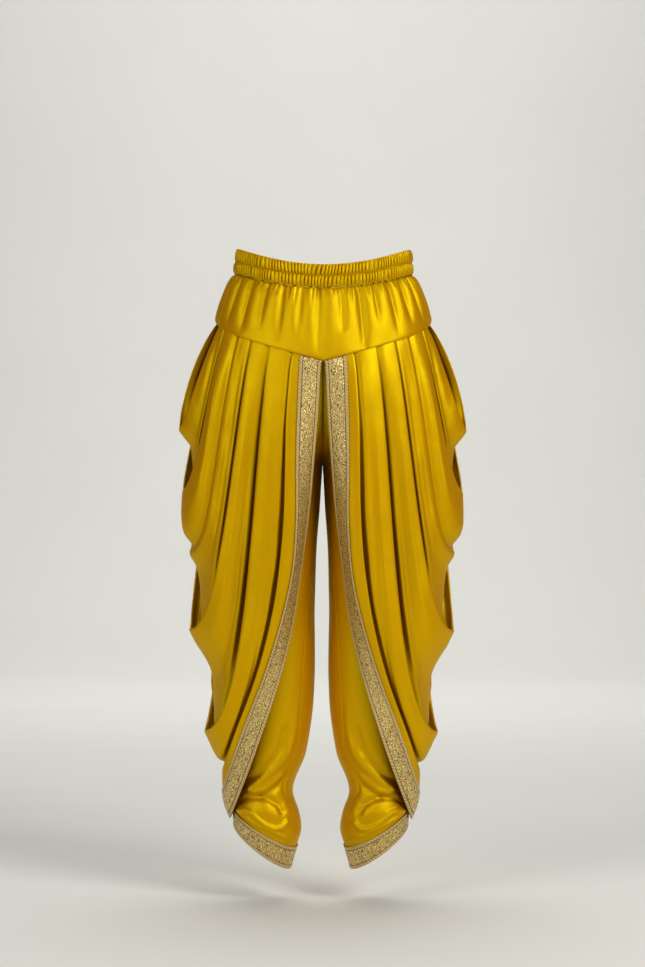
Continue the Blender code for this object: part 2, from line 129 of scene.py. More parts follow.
# Drapes
CLOTH = 0.8
PLEAT_ROLL_AT_SEAM = 0.8
PLEAT_SHARE = 0.4
SEAM_LIFT = -1.0
SEAM_BLEND = 0.12
SEAM_RISE = 2.5
SEAM_INSET = 1.2
LOOP_CROWDING = 1.7
TIP_DEPTH = 0.85
ROLL_FULL_AT = 0.35
POCKET_FROM = 0.4
POCKET_FULL_AT = 0.9
GAPE_FROM = 0.3
FIRST_TURN = 0.6
FIRST_TURN_ROLLS = 1.8
PLEAT_DEPTH = 20.0
FACE_BOW = 3.0
HIP_CURVE = 105.0
ROUND_FROM = 0.62
BORDER_ROUND_FROM = 0.86
SOFT_FOLDS = ("fold_3",)
SOFT_GROOVE_AT_SEAM = 2.5
SOFT_GROOVE = 5.0
SOFT_DEPTH_AT_SEAM = 2.6
SOFT_RISE = 0.4
BELLY_FROM = 0.5
FACE_STEPS = 6
EDGE_SHARPNESS = 0.5
LATE = 0.82
LATE_WAY = 0.6
LATE_RISES = {"fold_1": 0.7, "fold_3": 0.65, "fold_4": 0.45, "fold_5": 0.8}
PLEAT_DIPS = {"fold_2": 6.0, "fold_4": 8.0, "fold_5": 11.0, "border_fold": 5.0}
ROLL_STEPS = 3
CURVE_REACH = 2.5

# Unevenness of the drapes: size of the waves, height, shift of the seed
DRAPE_WAVES = ((75.0, 1.6, 0), (26.0, 0.4, 4))
WAVE_IN_POCKETS = 0.35
CALM_AT_SEAM = 0.12

# Ribbon borders
RIBBON_THICK = 1.0
RIBBON_BOW = 0.06
RIBBON_STEP = 2.0
RIBBON_COLUMNS = 22
LEG_AXIS_OUT = 80.0
HEM_CLEARANCE = 0.5

# Relief of the ribbon. Braid and groove: height, distance from the edge, width.
# Weave: height, length of its wave, sway of the wave, length of the sway.
BRAID = (0.45, 2.2, 2.4)
GROOVE = (0.25, 5.2, 0.7)
FIELD_FROM = 6.0
FIELD_FADE = 1.5
WEAVE_ALONG = (0.16, 9.0, 2.2, 13.0)
WEAVE_ACROSS = (0.12, 6.5, 1.8, 15.0)

# Materials: scales are waves in a metre, softness and relief are metres
SATIN_IOR = 2.25
SHEEN = 0.03
SHEEN_ROUGHNESS = 0.4
REVERSE_ROUGHNESS = 0.55
REVERSE_GLOSS = 0.3
# Painted shade in the satin's folds: samples of the ambient occlusion, and the part of its range that
# blends from the dark fold colour to the open cloth colour.
CREVICE_SHADE_SAMPLES = 6
SHADE_RANGE = (0.40, 0.97)
TONE_SCALE = 9.0
SLUB_SCALE = 900.0
RIPPLE_SCALE = 28.0
SCROLL_SCALE = 90.0
GLITTER_SCALE = 340.0
GLITTER_SHARE = 0.9
BRAID_SCALE = 120.0
LINE_SOFTNESS = 0.0002
BROCADE_RELIEF = 0.0005
BRAID_RELIEF = 0.0003
FLOOR_GRAIN = 2.0

# Under-trousers
UNDER_TUCK = 10.0
UNDER_INSET_TOP = 4.4
UNDER_INSET = 8.6
HEM_TILT_SIDE = 33.0
HEM_TILT_FRONT = 10.0
LEG_COLUMNS = 108
SEAM_FADE_COLUMNS = 13
HEM_FADE_ROWS = 9
LEG_SEAM_GAP = 0.06
HEM_COLUMNS = 300
LEG_WAVE_SIZE = 60.0
LEG_WAVE_HEIGHT = 1.4
LEG_WAVE_FROM = 230.0
LEG_WAVE_FULL = 80.0
LEG_WAVE_UNTIL = 860.0
LEG_WAVE_FADE = 30.0
FOLD_TURNS_AWAY = 0.5

# Gathers of the yoke: place along the waist from one side seam (0) over the
# centre (1) to the other (2), how deep, how far down it runs (1 = whole yoke),
# and its width, in the same measure as its place
Gather = namedtuple("Gather", "place deep reach width")
FRONT_GATHERS = (
    Gather(0.10, 3.0, 0.9, 0.050),
    Gather(0.24, 3.6, 0.8, 0.050),
    Gather(0.38, 3.8, 0.7, 0.045),
    Gather(0.51, 3.4, 0.8, 0.045),
    Gather(0.64, 3.0, 0.6, 0.040),
    Gather(0.75, 5.4, 0.95, 0.050),
    Gather(0.88, 3.2, 0.6, 0.040),
    Gather(1.03, 3.6, 0.8, 0.045),
    Gather(1.15, 3.0, 0.7, 0.040),
    Gather(1.28, 3.8, 0.8, 0.045),
    Gather(1.41, 3.0, 0.7, 0.045),
    Gather(1.55, 3.6, 0.8, 0.045),
    Gather(1.70, 3.4, 0.8, 0.050),
    Gather(1.87, 3.2, 0.9, 0.050),
)
BACK_GATHERS = (
    Gather(0.13, 3.2, 0.8, 0.050),
    Gather(0.30, 3.8, 0.9, 0.050),
    Gather(0.46, 3.2, 0.7, 0.045),
    Gather(0.60, 4.2, 0.9, 0.045),
    Gather(0.74, 3.0, 0.6, 0.045),
    Gather(0.87, 4.0, 0.8, 0.045),
    Gather(1.01, 3.2, 0.7, 0.045),
    Gather(1.14, 4.4, 0.9, 0.045),
    Gather(1.29, 3.2, 0.7, 0.045),
    Gather(1.44, 3.8, 0.8, 0.045),
    Gather(1.58, 3.0, 0.7, 0.045),
    Gather(1.72, 4.0, 0.9, 0.050),
    Gather(1.88, 3.0, 0.8, 0.050),
)

# Fold edges of the drape. Each hangs from the yoke seam, turns outward and
# ends in a tip at the side of the leg, where it goes round to the back.
Fold = namedtuple("Fold", "seam_out hang_out hang_down turn_out turn_down tip_out tip_down "
                          "hang_depth turn_depth roll pocket gape")
FRONT_FOLDS = {
    "fold_1": Fold(166, 189, 137, 213, 228, 229, 256, 27, 20, 2.2, 9, 9),
    "fold_2": Fold(157, 180, 186, 198, 336, 223, 354, 54, 42, 2.5, 16, 8),
    "fold_3": Fold(133, 170, 258, 170, 439, 211, 450, 80, 60, 2.0, 10, 3),
    "fold_4": Fold(112, 141, 258, 157, 572, 210, 574, 98, 76, 3.0, 9, 9),
    "fold_5": Fold(83, 112, 305, 109, 714, 186, 736, 114, 98, 3.0, 11, 9),
}
BACK_FOLDS = {
    "fold_1": Fold(172, 208, 134, 229, 212, 229, 256, 27, 20, 2.2, 9, 9),
    "fold_2": Fold(164, 201, 206, 223, 312, 223, 354, 54, 42, 2.5, 16, 8),
    "fold_3": Fold(150, 192, 254, 208, 417, 211, 450, 80, 60, 2.0, 10, 3),
    "fold_4": Fold(128, 183, 270, 213, 499, 210, 574, 98, 76, 3.0, 9, 9),
    "fold_5": Fold(95, 148, 319, 169, 663, 186, 736, 114, 98, 3.0, 11, 9),
}
Pleat = namedtuple("Pleat", "roll pocket gape")
BORDER_FOLD = Pleat(1.8, 5.0, 1.0)

# Belly of each tier at the side of the leg: share of the way to the next fold
Belly = namedtuple("Belly", "share out down")
BELLIES = {
    "fold_1": (Belly(0.30, 226, 264), Belly(0.66, 209, 286)),
    "fold_2": (Belly(0.30, 225, 378), Belly(0.66, 221, 422)),
    "fold_3": (Belly(0.50, 202, 472),),
    "fold_4": (Belly(0.30, 203, 594), Belly(0.66, 176, 644)),
    "fold_5": (Belly(0.30, 181, 752), Belly(0.66, 163, 784)),
}

# Soft creases on the faces between the folds: share of the face at the start
# and the end, way along the loop at which it starts and ends, height, width
Crease = namedtuple("Crease", "tier share_a share_b way_a way_b height width")
DRAPE_CREASES = (
    Crease("fold_1", 0.45, 0.55, 0.20, 0.80, 1.4, 0.14),
    Crease("fold_2", 0.35, 0.50, 0.15, 0.75, 1.6, 0.12),
    Crease("fold_2", 0.70, 0.62, 0.35, 0.95, -1.4, 0.10),
    Crease("fold_3", 0.40, 0.45, 0.20, 0.85, 1.5, 0.13),
    Crease("fold_4", 0.30, 0.42, 0.25, 0.90, 1.8, 0.10),
    Crease("fold_4", 0.62, 0.70, 0.30, 0.95, -1.5, 0.09),
    Crease("fold_5", 0.35, 0.50, 0.20, 0.85, 1.6, 0.11),
    Crease("fold_5", 0.72, 0.75, 0.45, 0.98, -1.3, 0.08),
    Crease("fold_1", 0.50, 0.45, 1.20, 1.75, 1.3, 0.14),
    Crease("fold_2", 0.60, 0.40, 1.10, 1.80, 1.5, 0.12),
    Crease("fold_4", 0.35, 0.50, 1.10, 1.75, 1.7, 0.10),
    Crease("fold_5", 0.45, 0.55, 1.15, 1.80, 1.5, 0.11),
)

# Last fold and the ribbon, from the yoke seam (first row) to the ankle (last)
Station = namedtuple("Station", "fold_out fold_down fold_depth outer_out outer_down outer_depth "
                                "inner_out inner_down inner_depth")
BORDER_STATIONS = (
    Station(46, 144, 115, 35, 146, 117, 2, 151, 118),
    Station(56, 227, 119, 40, 227, 119, 8, 230, 109),
    Station(58, 308, 120, 42, 308, 119, 15, 314, 98),
    Station(60, 395, 118, 42, 395, 115, 23, 399, 85),
    Station(67, 478, 113, 48, 478, 109, 34, 479, 77),
    Station(80, 558, 106, 65, 558, 103, 45, 559, 76),
    Station(102, 643, 94, 91, 643, 92, 63, 638, 78),
    Station(136, 736, 66, 128, 743, 66, 97, 748, 79),
    Station(157, 798, 56, 157, 832, 62, 144.5, 877, 68),
)

# Sections of one leg: how far down, where its middle lies, half its width and
# depth, its share of the slant of the hem, where the inseam lies in degrees
# round the front from the outer side, and how finely the stretch above is made
Section = namedtuple("Section", "down middle half_width half_depth slant inseam steps")
LEG_SECTIONS = (
    Section(215, 34, 122, 103, 0.0, 180, 6),
    Section(270, 58, 98, 96, 0.0, 180, 6),
    Section(322, 78, 77, 86, 0.0, 180, 6),
    Section(410, 78, 71, 79, 0.0, 166, 8),
    Section(550, 79, 67, 71, 0.0, 145, 12),
    Section(690, 79, 66, 63, 0.05, 133, 22),
    Section(765, 84, 60, 59, 0.2, 138, 28),
    Section(820, 91, 46, 50, 0.5, 146, 30),
    Section(846, 86, 51, 54, 0.65, 148, 16),
    Section(868, 86, 54.5, 56, 0.78, 150, 14),
    Section(889, 89, 50.5, 56, 0.9, 154, 14),
    Section(920, 93, 45, 51, 1.0, 160, 12),
)

# Lights, in metres: name, place, what each points at, size, and colour
Light = namedtuple("Light", "name place target size colour")
LIGHTS = (
    Light("key", (2.2, -2.5, 1.4), (0.0, 0.0, -0.4), 1.5, (1.0, 0.99, 0.96)),
    Light("fill", (-2.2, -2.6, 0.9), (0.0, 0.0, -0.5), 1.5, (1.0, 1.0, 0.98)),
    Light("top", (0.0, 1.2, 2.6), (0.0, 0.3, -1.0), 2.6, (1.0, 1.0, 0.99)),
    Light("wall", (0.0, 3.9, 2.8), (0.0, 7.15, 0.05), 3.25, (1.0, 1.0, 0.99)),
)
SURROUND_COLOUR = (1.0, 0.99, 0.97, 1.0)

# Floor and backdrop, in metres
SWEEP_FRONT = -8.0
SWEEP_WALL = 7.6
SWEEP_RADIUS = 2.6
SWEEP_HALF_WIDTH = 12.0
SWEEP_TOP = 7.0
SWEEP_STEPS = 24

# Satin folds of the lower leg, seen from the front: height, width, then places
# as out and down
LegFold = namedtuple("LegFold", "height width places")
LEG_FOLDS = (
    LegFold(3.8, 7.0, ((30, 690), (40, 741), (54, 767), (69, 787), (85, 803), (99, 815), (112, 823))),
    LegFold(2.8, 4.5, ((112, 826), (105, 830), (91, 826), (75, 813), (64, 804))),
    LegFold(-3.4, 6.5, ((56, 730), (66, 762), (78, 782), (99, 803), (119, 813))),
    LegFold(-2.8, 4.5, ((47, 796), (57, 806), (69, 822), (82, 831), (96, 838))),
    LegFold(-4.0, 5.5, ((129, 847), (117, 840), (99, 837), (82, 841), (68, 850), (62, 861))),
    LegFold(2.0, 11.0, ((102, 860), (72, 866))),
    LegFold(3.6, 3.8, ((133, 861), (120, 859), (110, 862), (99, 873), (87, 882), (73, 888),
                       (62, 887), (54, 878))),
    LegFold(2.6, 3.0, ((134, 864), (113, 875), (94, 885), (77, 893), (61, 900), (48, 906))),
    LegFold(-2.4, 2.4, ((40, 785), (50, 803), (59, 820), (60, 829), (54, 840), (45, 852))),
)


def lerp(a, b, t):
    return a + (b - a) * t


def smooth(t):
    t = np.clip(t, 0.0, 1.0)
    return t * t * (3.0 - 2.0 * t)


def bezier(a, b, c, d, t):
    u = 1.0 - t
    return u * u * u * a + 3 * u * u * t * b + 3 * u * t * t * c + t * t * t * d


def through(values, t):
    """Smooth curve through evenly spaced values."""
    last = len(values) - 1
    i = min(int(t * last), last - 1)
    f = t * last - i
    b, c = values[i], values[i + 1]
    a = values[i - 1] if i > 0 else 2 * b - c
    d = values[i + 2] if i + 2 <= last else 2 * c - b
    return 0.5 * (2 * b + (c - a) * f + (2 * a - 5 * b + 4 * c - d) * f * f
                  + (3 * b - 3 * c + d - a) * f * f * f)


# Grids: arrays of rows, columns and places, in millimetres

def refine(grid, counts):
    """Splits each span between columns into so many parts, on a smooth curve."""
    step = np.diff(grid, axis=1)
    length = np.maximum(np.linalg.norm(step, axis=2, keepdims=True), 1e-6)
    slope = step / length
    tangent = np.empty_like(grid)
    tangent[:, 0], tangent[:, -1] = slope[:, 0], slope[:, -1]
    before, after = length[:, :-1], length[:, 1:]
    tangent[:, 1:-1] = (slope[:, :-1] * after + slope[:, 1:] * before) / (before + after)
    reach_left, reach_right = length.copy(), length.copy()
    reach_left[:, 1:] = np.minimum(length[:, 1:], CURVE_REACH * length[:, :-1])
    reach_right[:, :-1] = np.minimum(length[:, :-1], CURVE_REACH * length[:, 1:])
    parts = []
    for k, count in enumerate(counts):
        s = (np.arange(count) / count)[None, :, None]
        start, end = grid[:, k:k + 1], grid[:, k + 1:k + 2]
        leave = tangent[:, k:k + 1] * reach_left[:, k:k + 1]
        arrive = tangent[:, k + 1:k + 2] * reach_right[:, k:k + 1]
        parts.append((2 * s ** 3 - 3 * s ** 2 + 1) * start + (s ** 3 - 2 * s ** 2 + s) * leave
                     + (3 * s ** 2 - 2 * s ** 3) * end + (s ** 3 - s ** 2) * arrive)
    parts.append(grid[:, -1:])
    return np.concatenate(parts, axis=1)


def refine_down(grid, counts):
    return refine(grid.transpose(1, 0, 2), counts).transpose(1, 0, 2)


def along_rows(grid):
    """Distance down each column from its first row."""
    step = np.linalg.norm(np.diff(grid, axis=0), axis=2)
    return np.concatenate([np.zeros((1, grid.shape[1])), np.cumsum(step, axis=0)])


def evenly(grid, step):
    """Rows at equal distances along the middle column."""
    way = along_rows(grid)[:, grid.shape[1] // 2]
    wanted = np.linspace(0.0, way[-1], int(way[-1] / step) + 1)
    columns = [np.stack([np.interp(wanted, way, grid[:, c, k]) for k in range(3)], axis=1)
               for c in range(grid.shape[1])]
    return np.stack(columns, axis=1), wanted


def grid_normals(grid, closed=False, level_rows=()):
    if closed:
        across = np.roll(grid, -1, axis=1) - np.roll(grid, 1, axis=1)
    else:
        across = np.gradient(grid, axis=1)
    down = np.gradient(grid, axis=0)
    normal = np.cross(across, down)
    for row in level_rows:
        normal[row, :, 2] = 0.0
    return normal / np.maximum(np.linalg.norm(normal, axis=2, keepdims=True), 1e-9)


def unevenness(grid, size, seed):
    """Smooth noise between about -1 and 1 at every place of a grid."""
    shift = Vector((seed, 3.1 * seed, 7.7 * seed))
    flat = grid.reshape(-1, 3) / size
    return np.array([noise.noise(Vector(p) + shift) for p in flat]).reshape(grid.shape[:2])


def cloth_lengths(grid, closed):
    """Distances across and down the cloth, in metres, for the weave."""
    if closed:
        grid = np.concatenate([grid, grid[:, :1]], axis=1)
    step = np.linalg.norm(np.diff(grid, axis=1), axis=2)
    across = np.concatenate([np.zeros((grid.shape[0], 1)), np.cumsum(step, axis=1)], axis=1)
    return np.stack([across, along_rows(grid)], axis=2) * MM


def cloth_shell(name, grid, wall, materials, closed=False, level_rows=(), lift=0.0, lengths=None):
    """Thin cloth round a grid. The first material is its right side, the second its reverse."""
    rows, columns = grid.shape[:2]
    normal = grid_normals(grid, closed, level_rows)
    outer = grid + normal * (lift + wall / 2)
    inner = grid + normal * (lift - wall / 2)
    points = np.concatenate([outer.reshape(-1, 3), inner.reshape(-1, 3)]) * MM
    if lengths is None:
        lengths = cloth_lengths(grid, closed)
    spans = columns if closed else columns - 1
    reverse = rows * columns

    def corners(r, c):
        """Point numbers and cloth lengths at a grid place, on the right side."""
        r, c = np.broadcast_arrays(r, c)
        return r * columns + c % columns, lengths[r, c]

    r, c = [part.ravel() for part in np.meshgrid(np.arange(rows - 1), np.arange(spans), indexing="ij")]
    ring = [corners(r, c), corners(r, c + 1), corners(r + 1, c + 1), corners(r + 1, c)]
    face = np.stack([p for p, _ in ring], axis=1)
    where = np.stack([w for _, w in ring], axis=1)
    faces, places = [face, face[:, ::-1] + reverse], [where, where[:, ::-1]]
    kinds = [np.zeros(len(face), int), np.ones(len(face), int)]
    edges = [((0, np.arange(spans)), (0, np.arange(spans) + 1)),
             ((rows - 1, np.arange(spans) + 1), (rows - 1, np.arange(spans)))]
    if not closed:
        edges += [((np.arange(rows - 1) + 1, 0), (np.arange(rows - 1), 0)),
                  ((np.arange(rows - 1), spans), (np.arange(rows - 1) + 1, spans))]
    for start, end in edges:
        a, wa = corners(*start)
        b, wb = corners(*end)
        faces.append(np.stack([a, a + reverse, b + reverse, b], axis=1))
        places.append(np.stack([wa, wa, wb, wb], axis=1))
        kinds.append(np.ones(len(a), int))
    mesh = bpy.data.meshes.new(name)
    mesh.from_pydata(points.tolist(), [], np.concatenate(faces).tolist())
    layer = mesh.uv_layers.new(name="cloth")
    layer.data.foreach_set("uv", np.concatenate(places).astype(np.float32).ravel())
    for material in materials:
        mesh.materials.append(material)
    mesh.polygons.foreach_set("material_index", np.concatenate(kinds).astype(np.int32))
    mesh.shade_smooth()
    mesh.update()
    piece = bpy.data.objects.new(name, mesh)
    bpy.context.scene.collection.objects.link(piece)
    return piece


SIDES = ((1, "left"), (-1, "right"))


def mirrored(grid, side):
    """The wearer's left leg lies at +X, the right leg is its mirror image."""
    if side > 0:
        return grid
    return (grid * np.array((-1.0, 1.0, 1.0)))[:, ::-1]


def dress(piece, node):
    """Puts a cloth piece in the place of its solid."""
    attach(piece, "root")
    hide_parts(node)


# Materials

def new_material(name, roughness, metallic):
    material = bpy.data.materials.new(name)
    material.use_nodes = True
    nodes, links = material.node_tree.nodes, material.node_tree.links
    shader = nodes["Principled BSDF"]
    shader.inputs["Roughness"].default_value = roughness
    shader.inputs["Metallic"].default_value = metallic
    return material, nodes, links, shader


def cloth_place(nodes):
    """Place on the flat cloth, in metres."""
    cloth = nodes.new("ShaderNodeUVMap")
    cloth.uv_map = "cloth"
    return cloth.outputs["UV"]


def texture_node(nodes, links, kind, source, values):
    node = nodes.new(kind)
    for name, value in values.items():
        node.inputs[name].default_value = value
    links.new(source, node.inputs["Vector"])
    return node


def noise_node(nodes, links, source, scale, detail, roughness=0.5, distortion=0.0):
    values = {"Scale": scale, "Detail": detail, "Roughness": roughness, "Distortion": distortion}
    return texture_node(nodes, links, "ShaderNodeTexNoise", source, values).outputs["Fac"]


def wave_node(nodes, links, source, scale, direction, distortion, detail, detail_scale):
    values = {"Scale": scale, "Distortion": distortion, "Detail": detail, "Detail Scale": detail_scale}
    node = texture_node(nodes, links, "ShaderNodeTexWave", source, values)
    node.bands_direction = direction
    return node.outputs["Fac"]


def math_node(nodes, links, operation, *values):
    """Arithmetic on sockets and plain numbers."""
    node = nodes.new("ShaderNodeMath")
    node.operation = operation
    for socket, value in zip(node.inputs, values):
        if isinstance(value, float):
            socket.default_value = value
        else:
            links.new(value, socket)
    return node.outputs["Value"]


def ramp_node(nodes, links, source, stops):
    node = nodes.new("ShaderNodeValToRGB")
    links.new(source, node.inputs["Fac"])
    ramp = node.color_ramp
    while len(ramp.elements) < len(stops):
        ramp.elements.new(0.5)
    for element, (place, colour) in zip(ramp.elements, stops):
        element.position = place
        element.color = (*colour, 1.0)
    return node.outputs["Color"]


def range_node(nodes, links, source, low, high, new_low, new_high):
    node = nodes.new("ShaderNodeMapRange")
    links.new(source, node.inputs["Value"])
    limits = {"From Min": low, "From Max": high, "To Min": new_low, "To Max": new_high}
    for name, value in limits.items():
        node.inputs[name].default_value = value
    return node.outputs["Result"]


def bump_node(nodes, links, height, distance, strength, below=None):
    node = nodes.new("ShaderNodeBump")
    node.inputs["Distance"].default_value = distance
    node.inputs["Strength"].default_value = strength
    links.new(height, node.inputs["Height"])
    if below is not None:
        links.new(below, node.inputs["Normal"])
    return node.outputs["Normal"]


def flat_colour(nodes, colour):
    node = nodes.new("ShaderNodeRGB")
    node.outputs[0].default_value = (*colour, 1.0)
    return node.outputs[0]


def blend(nodes, links, factor, first, second):
    node = nodes.new("ShaderNodeMix")
    node.data_type = "RGBA"
    links.new(factor, node.inputs["Factor"])
    links.new(first, node.inputs["A"])
    links.new(second, node.inputs["B"])
    return node.outputs["Result"]


def shade(colour, factor):
    return tuple(min(1.0, part * factor) for part in colour)


def satin(name, settings, colour, roughness, gloss):
    """Satin: long floats across the cloth, soft unevenness, a tinted sheen, and painted shade darkening
    its folds.
    """
    material, nodes, links, shader = new_material(name, roughness, settings.metal * gloss)
    cloth = cloth_place(nodes)
    place = nodes.new("ShaderNodeTexCoord").outputs["Object"]
    broad = noise_node(nodes, links, place, TONE_SCALE, 3.0)
    tones = ((0.30, shade(colour, 0.94)), (0.70, shade(colour, 1.05)))
    open_cloth = ramp_node(nodes, links, broad, tones)
    # Painted shade: where ambient occlusion finds cloth close by (in pleats, creases, puckers and
    # between ribs), the base colour turns to the dark fold colour in place of shadow.
    crevice_shade = nodes.new("ShaderNodeAmbientOcclusion")
    crevice_shade.samples = CREVICE_SHADE_SAMPLES
    crevice_shade.inputs["Distance"].default_value = settings.fold_shade_reach
    openness = range_node(nodes, links, crevice_shade.outputs["AO"], *SHADE_RANGE, 0.0, 1.0)
    links.new(blend(nodes, links, openness, flat_colour(nodes, settings.fold_shade_colour), open_cloth),
              shader.inputs["Base Color"])
    streaks = wave_node(nodes, links, cloth, 0.5 / settings.thread, "X", 1.5, 1.0, 2.0)
    slub = noise_node(nodes, links, cloth, SLUB_SCALE, 2.0)
    links.new(range_node(nodes, links, slub, 0.3, 0.7, roughness - 0.05, roughness + 0.06),
              shader.inputs["Roughness"])
    ripple = noise_node(nodes, links, place, RIPPLE_SCALE, 2.0, 0.45)
    normal = bump_node(nodes, links, ripple, settings.ripple, 0.6)
    normal = bump_node(nodes, links, slub, settings.thread * 0.5, 0.25, normal)
    normal = bump_node(nodes, links, streaks, settings.thread * 0.4, 0.2, normal)
    links.new(normal, shader.inputs["Normal"])
    shader.inputs["Specular IOR Level"].default_value = gloss
    shader.inputs["IOR"].default_value = SATIN_IOR
    shader.inputs["Specular Tint"].default_value = (*settings.highlight_colour, 1.0)
    shader.inputs["Sheen Weight"].default_value = SHEEN
    shader.inputs["Sheen Roughness"].default_value = SHEEN_ROUGHNESS
    shader.inputs["Sheen Tint"].default_value = (*settings.highlight_colour, 1.0)
    return material


def cloth_pair(label):
    """Right side and reverse of the satin of one piece."""
    settings = bpy.context.scene.trousers_cloth
    return (satin("satin_" + label, settings, settings.colour, settings.roughness, settings.gloss),
            satin("satin_reverse_" + label, settings, settings.reverse_colour,
                  REVERSE_ROUGHNESS, REVERSE_GLOSS))


def brocade(label, length_along):
    """Woven ribbon: scrolls in gold thread, braided edges, a dark line inside each edge."""
    settings = bpy.context.scene.trousers_ribbon
    material, nodes, links, shader = new_material("brocade_" + label, 0.4, 0.0)
    cloth = cloth_place(nodes)
    split = nodes.new("ShaderNodeSeparateXYZ")
    links.new(cloth, split.inputs["Vector"])
    across = split.outputs["X" if length_along == "Y" else "Y"]
    inset = math_node(nodes, links, "PINGPONG", across, settings.width / 2)
    scroll = wave_node(nodes, links, cloth, SCROLL_SCALE, "X", 16.0, 2.0, 2.2)
    glitter = noise_node(nodes, links, cloth, GLITTER_SCALE, 3.0, 0.75, 0.6)
    scrolls = range_node(nodes, links, scroll, 0.0, 1.0, -0.2, 0.35)
    pattern = math_node(nodes, links, "MULTIPLY_ADD", glitter, GLITTER_SHARE, scrolls)
    # The brightest stop is partly the colour of the brightest gold threads and partly a painted glint,
    # placed by the fine glitter noise.
    threads = ((0.25, settings.ground_colour), (0.48, settings.thread_colour),
               (0.72, settings.glint_thread_colour))
    field = ramp_node(nodes, links, pattern, threads)
    braid = wave_node(nodes, links, cloth, BRAID_SCALE, "DIAGONAL", 2.0, 1.0, 2.0)
    strands = ((0.2, shade(settings.edge_colour, 0.65)), (0.8, shade(settings.edge_colour, 1.15)))
    braid_colour = ramp_node(nodes, links, braid, strands)

    def step_at(distance):
        return range_node(nodes, links, inset, distance - LINE_SOFTNESS, distance + LINE_SOFTNESS,
                          0.0, 1.0)

    line_end = settings.edge_width + settings.line_width
    line = flat_colour(nodes, settings.line_colour)
    colour = blend(nodes, links, step_at(settings.edge_width), braid_colour, line)
    colour = blend(nodes, links, step_at(line_end), colour, field)
    links.new(colour, shader.inputs["Base Color"])
    links.new(range_node(nodes, links, glitter, 0.35, 0.65, 0.5, 0.26), shader.inputs["Roughness"])
    shine = range_node(nodes, links, pattern, 0.3, 0.7, 0.15, 0.75)
    links.new(math_node(nodes, links, "MULTIPLY", shine, step_at(line_end)), shader.inputs["Metallic"])
    normal = bump_node(nodes, links, pattern, BROCADE_RELIEF, 0.7)
    normal = bump_node(nodes, links, braid, BRAID_RELIEF, 0.4, normal)
    links.new(normal, shader.inputs["Normal"])
    return material


# The hips

def oval(angle, half_width, half_depth):
    """Angle 0 is the wearer's left side seam, 90 degrees the front, 180 the other side."""
    return half_width * np.cos(angle), -half_depth * np.sin(angle)


def oval_normal(x, y, half_width, half_depth):
    normal = np.stack([x / half_width ** 2, y / half_depth ** 2, np.zeros_like(x)], axis=-1)
    return normal / np.linalg.norm(normal, axis=-1, keepdims=True)


def even_angles(count, half_width, half_depth):
    """Angles at equal distances round an oval."""
    angle = np.linspace(0.0, 2 * np.pi, 4001)
    x, y = oval(angle, half_width, half_depth)
    way = np.concatenate([[0.0], np.cumsum(np.hypot(np.diff(x), np.diff(y)))])
    return np.interp(np.arange(count) / count * way[-1], way, angle)


def yoke_foot_down(angle):
    quarter = np.arcsin(np.minimum(1.0, np.abs(np.sin(angle)))) / (np.pi / 2)
    return lerp(YOKE_DROP_AT_SIDES, YOKE_DROP_AT_CENTRE, quarter)


def dip(angle, front, back):
    return np.where(np.sin(angle) > 0, front, back) * np.sin(angle) ** 2


def band_top_down(angle):
    return -BAND_TOP_AT_SIDES + dip(angle, BAND_DIP_FRONT, BAND_DIP_BACK)


def band_foot_down(angle):
    return BAND_HEIGHT - BAND_TOP_AT_SIDES + dip(angle, BAND_FOOT_DIP_FRONT, BAND_DIP_BACK)


def rib_shape(phase):
    """Round rib with a narrow valley on each side."""
    return smooth(0.62 - 0.85 * np.cos(2 * np.pi * phase))


def waves(turn, table):
    return sum(size * np.sin(2 * np.pi * count * turn + phase) for size, count, phase in table)


def waistband_grid(settings):
    count = settings.ribs * BAND_STEPS_PER_RIB
    angle = even_angles(count, WAIST_HALF_WIDTH, WAIST_HALF_DEPTH)
    turn = np.arange(count) / count
    wobble = waves(turn, RIB_WOBBLE)
    slant = waves(turn, RIB_SLANT)
    shares, heights = zip(*BAND_PROFILE)
    grid = []
    for share in np.linspace(0.0, 1.0, 2 * BAND_STEPS_DOWN + 1):
        upper = share < 0.5
        phase = turn * settings.ribs + (wobble if upper else 0.5 - LOWER_ROW_WOBBLE * wobble)
        phase = phase + slant * ((share - 0.25) if upper else LOWER_ROW_SLANT * (share - 0.75))
        height = np.interp(share, shares, heights)
        uneven = np.sin(2 * np.pi * (RIB_UNEVEN_WAVES * turn + (0.3 if upper else 0.8)))
        unit = rib_shape(phase) * (1.0 + RIB_UNEVEN * uneven)
        lip = BAND_LIP * math.exp(-(share / BAND_LIP_SHARE) ** 2)
        half_width = lerp(WAIST_HALF_WIDTH, BAND_FOOT_HALF_WIDTH, share)
        half_depth = lerp(WAIST_HALF_DEPTH, BAND_FOOT_HALF_DEPTH, share)
        x, y = oval(angle, half_width, half_depth)
        down = lerp(band_top_down(angle), band_foot_down(angle), share)
        normal = oval_normal(x, y, half_width, half_depth)
        reach = height * unit * settings.rib_height / MM + lip
        grid.append(np.stack([x, y, -down], axis=1) + normal * reach[:, None])
    return np.array(grid)


def gather_depth(gathers, place, share):
    total = np.zeros_like(place)
    for g in gathers:
        fade = max(0.0, 1.0 - (share / (g.reach * GATHER_RUN)) ** 3)
        away = np.abs(place - g.place) / g.width
        crease = CREASE_SHARE * np.exp(-(away / CREASE_WIDTH) ** 2)
        total += g.deep * fade * (np.exp(-away ** 2) + crease)
    return total


